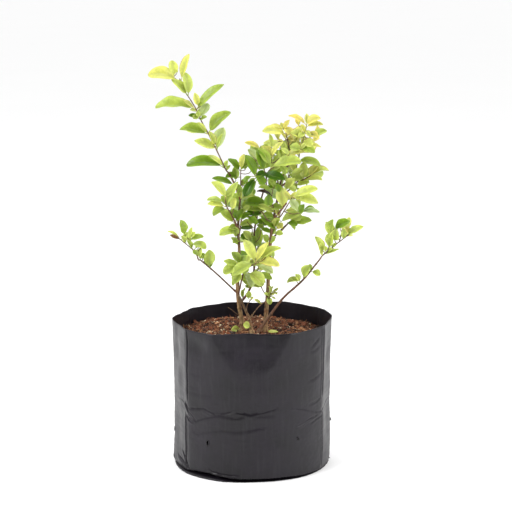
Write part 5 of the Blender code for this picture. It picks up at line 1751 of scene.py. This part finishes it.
def film_wall(bearings, heights, inset=0.0, relief=1.0):
    """Points of the film's wall, row by row, for lists of bearings from the front and heights."""
    bearing, height = np.meshgrid(np.asarray(bearings, float), np.asarray(heights, float))
    share = height / BAG_HEIGHT
    profile = np.interp(share, [s for s, _ in BAG_PROFILE], [r for _, r in BAG_PROFILE])
    crease = sum(hill(away_from(bearing, place), 0, CREASE_WIDTH) for place in BAG_CREASES) * CREASE_DEPTH
    reach = BAG_RADIUS * profile * (1.0 + crease * np.minimum(1.0, 4.0 * share))
    reach = reach + film_relief(bearing, height) * relief - inset
    turn = np.radians(bearing - 90.0)
    wave = RIM_WAVE * np.sin(5 * turn + 0.35) * np.cos(2 * turn) + RIM_TILT * np.cos(turn)
    wave = wave + 0.0004 * np.sin(17 * turn + 1.0) * np.cos(6 * turn)
    wave = wave + along_bearings(bearing, RIM_LIFTS) * MM
    rise = height + wave * share**6
    return np.stack([reach * np.cos(turn), reach * np.sin(turn), rise], axis=-1)


def closed_grid(rows, around):
    """The faces of a skin of rings of equal count, with a cap on its first and its last ring."""
    faces = []
    for row in range(rows - 1):
        for i in range(around):
            a, b = row * around + i, row * around + (i + 1) % around
            faces.append((a, b, b + around, a + around))
    faces.append(tuple(range(around))[::-1])
    faces.append(tuple(range((rows - 1) * around, rows * around)))
    return faces


def spaced(*runs):
    """Values from run to run: each run is its start, its end and its step."""
    values = []
    for start, end, step in runs:
        count = max(1, round((end - start) / step))
        values += [start + (end - start) * k / count for k in range(count)]
    return values


def rings_at(bearings, reach, rise):
    """One ring of points at the reach and height given for each bearing."""
    turn = np.radians(np.asarray(bearings) - 90.0)
    return np.stack([reach * np.cos(turn), reach * np.sin(turn), rise + 0 * turn], axis=-1)[None]


def rings_of_foot(bearings, wrapped):
    """The rings of the underside and of the slot over it, and how high the slot's upper lip lies."""
    slot = np.array(SLOT, dtype=float)
    lip, shelf, deep, foot = (np.interp(wrapped, slot[:, 0], slot[:, k]) * MM for k in (1, 2, 3, 4))
    ragged = 0.0002 * np.sin(wrapped * 0.9) + 0.00015 * np.sin(wrapped * 2.3)
    lip = np.maximum(lip + ragged, shelf + 0.0004)
    wall = film_wall(wrapped, [0.006])[0]
    edge = np.hypot(wall[:, 0], wall[:, 1])
    foot = foot + ragged
    back = np.minimum(foot, edge)
    places = [(foot * share, 0.0003 * (share < 0.8)) for share in (0.02, 0.3, 0.6, 0.85, 0.97)]
    places += [(foot, 0.0), (foot + 0.0002, shelf * 0.6), (foot - 0.0004, shelf),
               (back - deep * 0.6, shelf), (back - deep, (shelf + lip) / 2), (back - deep * 0.6, lip),
               (edge - 0.0010, lip), (edge - 0.0003, lip + 0.0003)]
    return [rings_at(bearings, reach, rise) for reach, rise in places], lip


def in_holes(wrapped, heights):
    """Which places of a grid of bearings and heights lie in a drain hole."""
    inside = np.zeros((len(heights), len(wrapped)), dtype=bool)
    for place, height, size in DRAIN_HOLES:
        over = away_from(wrapped, place)[None, :] * WALL_MM_PER_DEGREE / (size * HOLE_SLIMNESS)
        along = (np.array(heights)[:, None] / MM - height) / size
        inside |= over**2 + along**2 < 1.0
    return inside


def dress_bag(finishes):
    """The film as one thin shell with its folds, the slot under its edge and shallow dips at the drain holes
    painted black as the holes' shade, then the holes' torn edges.
    """
    sheaf = Sheaf("film_bag")
    bearings = np.array(spaced((-100, 96, 0.55), (96, 260, 1.2)))
    wrapped = away_from(bearings, 0.0)
    rows, lip = rings_of_foot(bearings, wrapped)
    heights = spaced((BAG_HEM, 0.024, 0.0009), (0.024, 0.038, 0.002), (0.038, 0.056, 0.0009),
                     (0.056, 0.062, 0.002), (0.062, 0.100, 0.0009), (0.100, BAG_HEIGHT, 0.0020))
    heights.append(BAG_HEIGHT)
    outside = film_wall(wrapped, heights)
    inside_hole = in_holes(wrapped, heights)
    outside[inside_hole, :2] *= 1.0 - HOLE_DEPTH / BAG_RADIUS
    rise = np.clip((outside[..., 2] - BAG_HEM) / 0.012, 0, 1)
    outside[..., 2] = outside[..., 2] * rise + (outside[..., 2] - 0.0075 + lip + 0.001) * (1 - rise)
    depths = spaced((BAG_HEIGHT - 0.0008, 0.15, -0.002), (0.15, 0.004, -0.02))
    inner = film_wall(wrapped, [BAG_HEIGHT, *depths], FILM)
    first = len(rows) * len(bearings)
    floor_edge = np.hypot(inner[-1, :, 0], inner[-1, :, 1])
    floor = [rings_at(bearings, floor_edge * share, BAG_FLOOR + 0.004) for share in (0.85, 0.4, 0.02)]
    points = np.concatenate([*rows, outside, inner, *floor]).reshape(-1, 3)
    faces = closed_grid(len(points) // len(bearings), len(bearings))
    sunk = np.zeros(len(points), dtype=bool)
    sunk[first:first + inside_hole.size] = inside_hole.ravel()
    # Faces in a drain hole take a flat black finish: painted shade of the hole's dark inside, on a shallow
    # dip in the film
    kinds = ["pit" if sum(sunk[i] for i in face[:4]) > 1 else "black_film" for face in faces]
    marks = np.zeros((len(points), 2))
    # The UVs carry how deep in a crease each place lies, for the film's painted shade
    marks[first:first + inside_hole.size, 0] = crease_gloss_shade(*np.meshgrid(wrapped, heights)).ravel()
    sheaf.add(points, faces, kinds, marks)
    sheaf.object(finishes, ["grow_bag"])
    holes = Sheaf("film_drain_holes")
    draw = random.Random(31)
    for bearing, height, size in DRAIN_HOLES:
        drain_hole(holes, bearing, height * MM, size * MM, draw)
    holes.object(finishes)


def drain_hole(sheaf, bearing, height, size, draw):
    """The torn edge of a small slot in the film, with loose shreds."""
    centre = Vector(film_wall([bearing], [height])[0, 0])
    out = Vector((centre.x, centre.y, 0)).normalized()
    side = UP.cross(out)
    points, faces = [], []
    for k in range(LIP_SIDES):
        turn = 2 * math.pi * k / LIP_SIDES
        rag = 1.12 + 0.10 * math.sin(3 * turn + size * 9000) + 0.06 * math.sin(7 * turn)
        away = side * math.cos(turn) * HOLE_SLIMNESS + UP * math.sin(turn)
        middle = centre + away * size * rag + out * 0.0001
        thick = LIP_RADIUS * (1.1 + 0.5 * math.sin(2 * turn + size * 5000))
        for i in range(LIP_FACES):
            round_it = 2 * math.pi * i / LIP_FACES
            points.append(middle + away.normalized() * math.cos(round_it) * thick
                          + out * math.sin(round_it) * thick * 1.6)
            a, b = k * LIP_FACES, (k + 1) % LIP_SIDES * LIP_FACES
            beside = (i + 1) % LIP_FACES
            faces.append((a + i, b + i, b + beside, a + beside))
    sheaf.add(points, faces, "film_lip")
    for _ in range(SHREDS):
        turn = draw.uniform(0, 2 * math.pi)
        start = centre + (side * math.cos(turn) * HOLE_SLIMNESS + UP * math.sin(turn)) * size * 1.1
        end = start + out * draw.uniform(0.0014, 0.0030) + UP * size * draw.uniform(-0.4, 0.6)
        shred = Route(spline([start, start.lerp(end, 0.5) + out * 0.0005, end], 0.0006), out)
        radii = [0.0005 - 0.00036 * i / (len(shred.points) - 1) for i in range(len(shred.points))]
        sheaf.add(*tube(shred, radii, 6), "film_lip")


# Potting mix: how far it stays inside the film, and how many chips, crumbs and fibres lie how far out
MIX_CLEAR = 0.0016
CHIPS, CHIP_REACH = 4400, 0.0945
CRUMBS, CRUMB_REACH = 5200, 0.0955
FIBRES, FIBRE_REACH = 420, 0.092
CHIP_KINDS = (("chip_red", 33), ("chip_brown", 24), ("chip_dark", 22), ("chip_tan", 15), ("chip_cream", 6))
FIBRE_KINDS = ("chip_red", "chip_tan", "chip_brown")
CHIP_LENGTH = 0.0034
CHIP_LENGTH_SPREAD = 0.42
LONGEST_CHIP = 0.0085
LONGEST_CREAM_CHIP = 0.005
CRUMB_LENGTH = (0.0006, 0.0016)
FIBRE_LENGTH = (0.006, 0.014)
CHIP_RING = 5
BODY_SIDES = 150


def soil_height(x, y):
    reach = math.hypot(x, y)
    base = SOIL_HEIGHT - (SOIL_HEIGHT - SOIL_EDGE) * max(0.0, (reach - 0.034) / 0.062) ** 1.5
    rough = 0.0013 * noise.noise(Vector((x * 60, y * 60, 2.0)))
    rough += 0.0007 * noise.noise(Vector((x * 190, y * 190, 5.0)))
    return base - 0.0012 + rough


def scattered(draw, reach):
    """A random place on the mix, within a reach of the bag's middle."""
    away = reach * math.sqrt(draw.random())
    turn = draw.uniform(0, 2 * math.pi)
    return away * math.cos(turn), away * math.sin(turn)


def lying_at(x, y, lift):
    return Vector((x, y, soil_height(x, y) + lift))


def dress_mix(finishes):
    """The mix: a rough body, and thousands of chips, crumbs and fibres lying on it."""
    body = Sheaf("mix_body")
    bearings = [360.0 * i / BODY_SIDES - 180.0 for i in range(BODY_SIDES)]
    rings = list(film_wall(bearings, [0.008, 0.03, 0.06, 0.09, 0.12, 0.15], MIX_CLEAR))
    rim = film_wall(bearings, [SOIL_EDGE], MIX_CLEAR)[0]
    for reach in (1.0, 0.985, *(0.96 - 0.04 * k for k in range(24)), 0.01):
        rings.append([(x * reach, y * reach, soil_height(x * reach, y * reach)) for x, y, _ in rim])
    body.add(np.array(rings).reshape(-1, 3), closed_grid(len(rings), BODY_SIDES), "mix_dark")
    body.object(finishes, ["potting_mix"])
    names = [name for name, weight in CHIP_KINDS for _ in range(weight)]
    draw = random.Random(77)
    chips = Sheaf("mix_chips")
    for _ in range(CHIPS):
        x, y = scattered(draw, CHIP_REACH)
        kind = draw.choice(names)
        length = draw.lognormvariate(math.log(CHIP_LENGTH), CHIP_LENGTH_SPREAD)
        length = min(length, LONGEST_CREAM_CHIP if kind == "chip_cream" else LONGEST_CHIP)
        place = lying_at(x, y, length * draw.uniform(0.0, 0.22))
        add_chip(chips, place, length, draw.uniform(0.35, 0.75), draw.uniform(0.22, 0.55), draw, kind)
    chips.object(finishes, smooth=False)
    crumbs = Sheaf("mix_crumbs")
    for _ in range(CRUMBS):
        x, y = scattered(draw, CRUMB_REACH)
        size = draw.uniform(*CRUMB_LENGTH)
        place = lying_at(x, y, draw.uniform(0.0004, 0.0022))
        add_chip(crumbs, place, size, 0.8, 0.7, draw, draw.choice(names))
    for _ in range(FIBRES):
        x, y = scattered(draw, FIBRE_REACH)
        place = lying_at(x, y, draw.uniform(0.001, 0.0028))
        length = draw.uniform(*FIBRE_LENGTH)
        add_chip(crumbs, place, length, 0.05, 0.045, draw, draw.choice(FIBRE_KINDS))
    crumbs.object(finishes, smooth=False)


def add_chip(sheaf, place, length, wide, thick, draw, kind):
    """One splintered chip: a bent prism with ragged ends, lying at any angle."""
    spin = Matrix.Rotation(draw.uniform(0, 2 * math.pi), 3, "Z")
    spin = spin @ Matrix.Rotation(draw.gauss(0, 0.4), 3, "Y") @ Matrix.Rotation(draw.gauss(0, 0.5), 3, "X")
    points = []
    for end in (-0.5, 0.5):
        for k in range(CHIP_RING):
            turn = 2 * math.pi * k / CHIP_RING + 0.4 * end
            rag = draw.uniform(0.7, 1.15)
            spot = Vector((length * (end + draw.uniform(-0.14, 0.14)),
                           length * wide * 0.5 * math.cos(turn) * rag,
                           length * thick * 0.5 * math.sin(turn) * rag))
            points.append(place + spin @ spot)
    faces = [tuple(range(CHIP_RING))[::-1], tuple(range(CHIP_RING, 2 * CHIP_RING))]
    for k in range(CHIP_RING):
        a, b = k, (k + 1) % CHIP_RING
        faces.append((a, b, b + CHIP_RING, a + CHIP_RING))
    sheaf.add(points, faces, kind)


# Barks: pale, dark and ruddy colour, and how dark the young end is. Plain finishes: colour, roughness, the
# grain's scale, its contrast and its depth in metres.
BARKS = {
    "bark_old": ((176, 144, 98), (66, 44, 27), (118, 76, 45), 0.42),
    "bark_young": ((124, 90, 62), (62, 40, 28), (102, 58, 40), 0.9),
    "twig_brown": ((120, 94, 62), (68, 48, 34), (98, 70, 46)),
    "twig_green": ((150, 150, 84), (104, 104, 54), (130, 112, 64)),
}
PLAIN = {
    "petiole_green": ((150, 168, 80), 0.5, 600, 0.15),
    "petiole_yellow": ((206, 202, 110), 0.5, 600, 0.15),
    "film_lip": ((24, 23, 25), 0.4, 800, 0.3),
    # Near-black without gloss: painted shade inside the drain holes
    "pit": ((5, 5, 5), 0.9, 500, 0.2),
    "mix_dark": ((30, 20, 15), 0.95, 500, 0.5, 0.001),
    "chip_red": ((112, 61, 34), 0.9, 900, 0.35),
    "chip_brown": ((84, 50, 29), 0.9, 900, 0.35),
    "chip_dark": ((44, 27, 20), 0.92, 900, 0.35),
    "chip_tan": ((154, 108, 72), 0.88, 900, 0.3),
    "chip_cream": ((200, 182, 150), 0.85, 700, 0.12),
}


def make_finishes():
    """Every material on the object, by name."""
    made = {"black_film": film_material()}
    for name, upper, through in (*TINTS, *UNDERSIDES, *VEINS, RUSSET, DEAD, WITHERED):
        made[name] = leaf_material(name, upper, through)
    for name, values in BARKS.items():
        made[name] = bark_material(name, *values)
    for name, values in PLAIN.items():
        made[name] = plain_material(name, *values)
    # The painted hole shade shows no reflection
    made["pit"].node_tree.nodes["Principled BSDF"].inputs["Specular IOR Level"].default_value = 0.0
    return made


# The studio: how bright it is all round, and the darker room behind the camera
STUDIO_WHITE = 1.25
STUDIO_DARK = 0.12
STUDIO_DARK_WAY = (0.0, -0.94, 0.34)
STUDIO_DARK_SPAN = (0.45, 0.92)
FLOOR_HALF = 60.0
FLOOR_PALE = (0.93, 0.95)
LAMPS = (
    ("key", (-1.6, -1.3, 1.5), 1.0, 42.0),
    ("fill", (1.8, -1.1, 1.1), 1.2, 28.0),
    ("top", (0.0, 0.2, 2.0), 1.0, 12.0),
)
LAMPS_AIM = (0.0, 0.0, 0.28)


def studio_world():
    """A white studio all round that is darker behind the camera, as satin film shows it."""
    world = bpy.data.worlds.new("studio")
    world.use_nodes = True
    tree = world.node_tree
    way = tree.nodes.new("ShaderNodeTexCoord")
    dot = tree.nodes.new("ShaderNodeVectorMath")
    dot.operation = "DOT_PRODUCT"
    dot.inputs[1].default_value = STUDIO_DARK_WAY
    tree.links.new(way.outputs["Generated"], dot.inputs[0])
    share = tree.nodes.new("ShaderNodeMapRange")
    share.interpolation_type = "SMOOTHSTEP"
    near, far = STUDIO_DARK_SPAN
    ends = {"From Min": near, "From Max": far, "To Min": STUDIO_WHITE, "To Max": STUDIO_DARK}
    for key, value in ends.items():
        share.inputs[key].default_value = value
    tree.links.new(dot.outputs["Value"], share.inputs["Value"])
    sky = tree.nodes["Background"]
    sky.inputs["Color"].default_value = (1.0, 1.0, 1.0, 1.0)
    tree.links.new(share.outputs["Result"], sky.inputs["Strength"])
    return world


def stage_and_light():
    """A pale floor, a white studio round it, soft lamps and the camera at the photograph's angle."""
    mesh = bpy.data.meshes.new("floor")
    corners = ((-1, -1), (1, -1), (1, 1), (-1, 1))
    mesh.from_pydata([(x * FLOOR_HALF, y * FLOOR_HALF, 0.0) for x, y in corners], [], [(0, 1, 2, 3)])
    floor = bpy.data.objects.new("floor", mesh)
    floor.location.z = -GAP / 2
    bpy.context.scene.collection.objects.link(floor)
    nodes = Nodes("floor_white")
    colour = nodes.mix(nodes.noise(1.5, 2.0), *((pale, pale, pale, 1.0) for pale in FLOOR_PALE))
    mesh.materials.append(nodes.finish(colour, 0.8))
    bpy.context.scene.world = studio_world()
    for name, place, size, power in LAMPS:
        lamp = bpy.data.lights.new(name, "AREA")
        lamp.size = size
        lamp.energy = power
        stand = bpy.data.objects.new(name, lamp)
        stand.location = place
        stand.rotation_euler = (Vector(LAMPS_AIM) - Vector(place)).to_track_quat("-Z", "Y").to_euler()
        bpy.context.scene.collection.objects.link(stand)
    camera = bpy.data.cameras.new("camera")
    camera.sensor_width = CAMERA_SENSOR
    camera.lens = CAMERA_LENS
    eye = bpy.data.objects.new("camera", camera)
    eye.location = CAMERA_PLACE
    eye.rotation_euler = (math.radians(90 - CAMERA_DOWN), 0, 0)
    bpy.context.scene.collection.objects.link(eye)
    bpy.context.scene.camera = eye
    bpy.context.scene.view_settings.view_transform = "Standard"


def node_shape(name):
    """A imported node's points and faces."""
    mesh = frame["nodes"][name].data
    return [v.co.copy() for v in mesh.vertices], [tuple(p.vertices) for p in mesh.polygons]


def main():
    finishes = make_finishes()
    routes = limb_routes()
    routes["stem_twin"] = twin_cut(routes)
    shapes = []
    for limb in LIMBS:
        route = routes[limb.name]
        shapes.append(tube(route, limb_radii(limb, route.points), LIMB_SIDES))
    shapes += [node_shape("grow_bag"), node_shape("potting_mix")]
    grown = grown_masses(routes, shapes)
    grow_stems(finishes, routes)
    dress_masses(finishes, routes, grown, [tree_of(*shape) for shape in shapes])
    dress_bag(finishes)
    dress_mix(finishes)
    stage_and_light()


main()
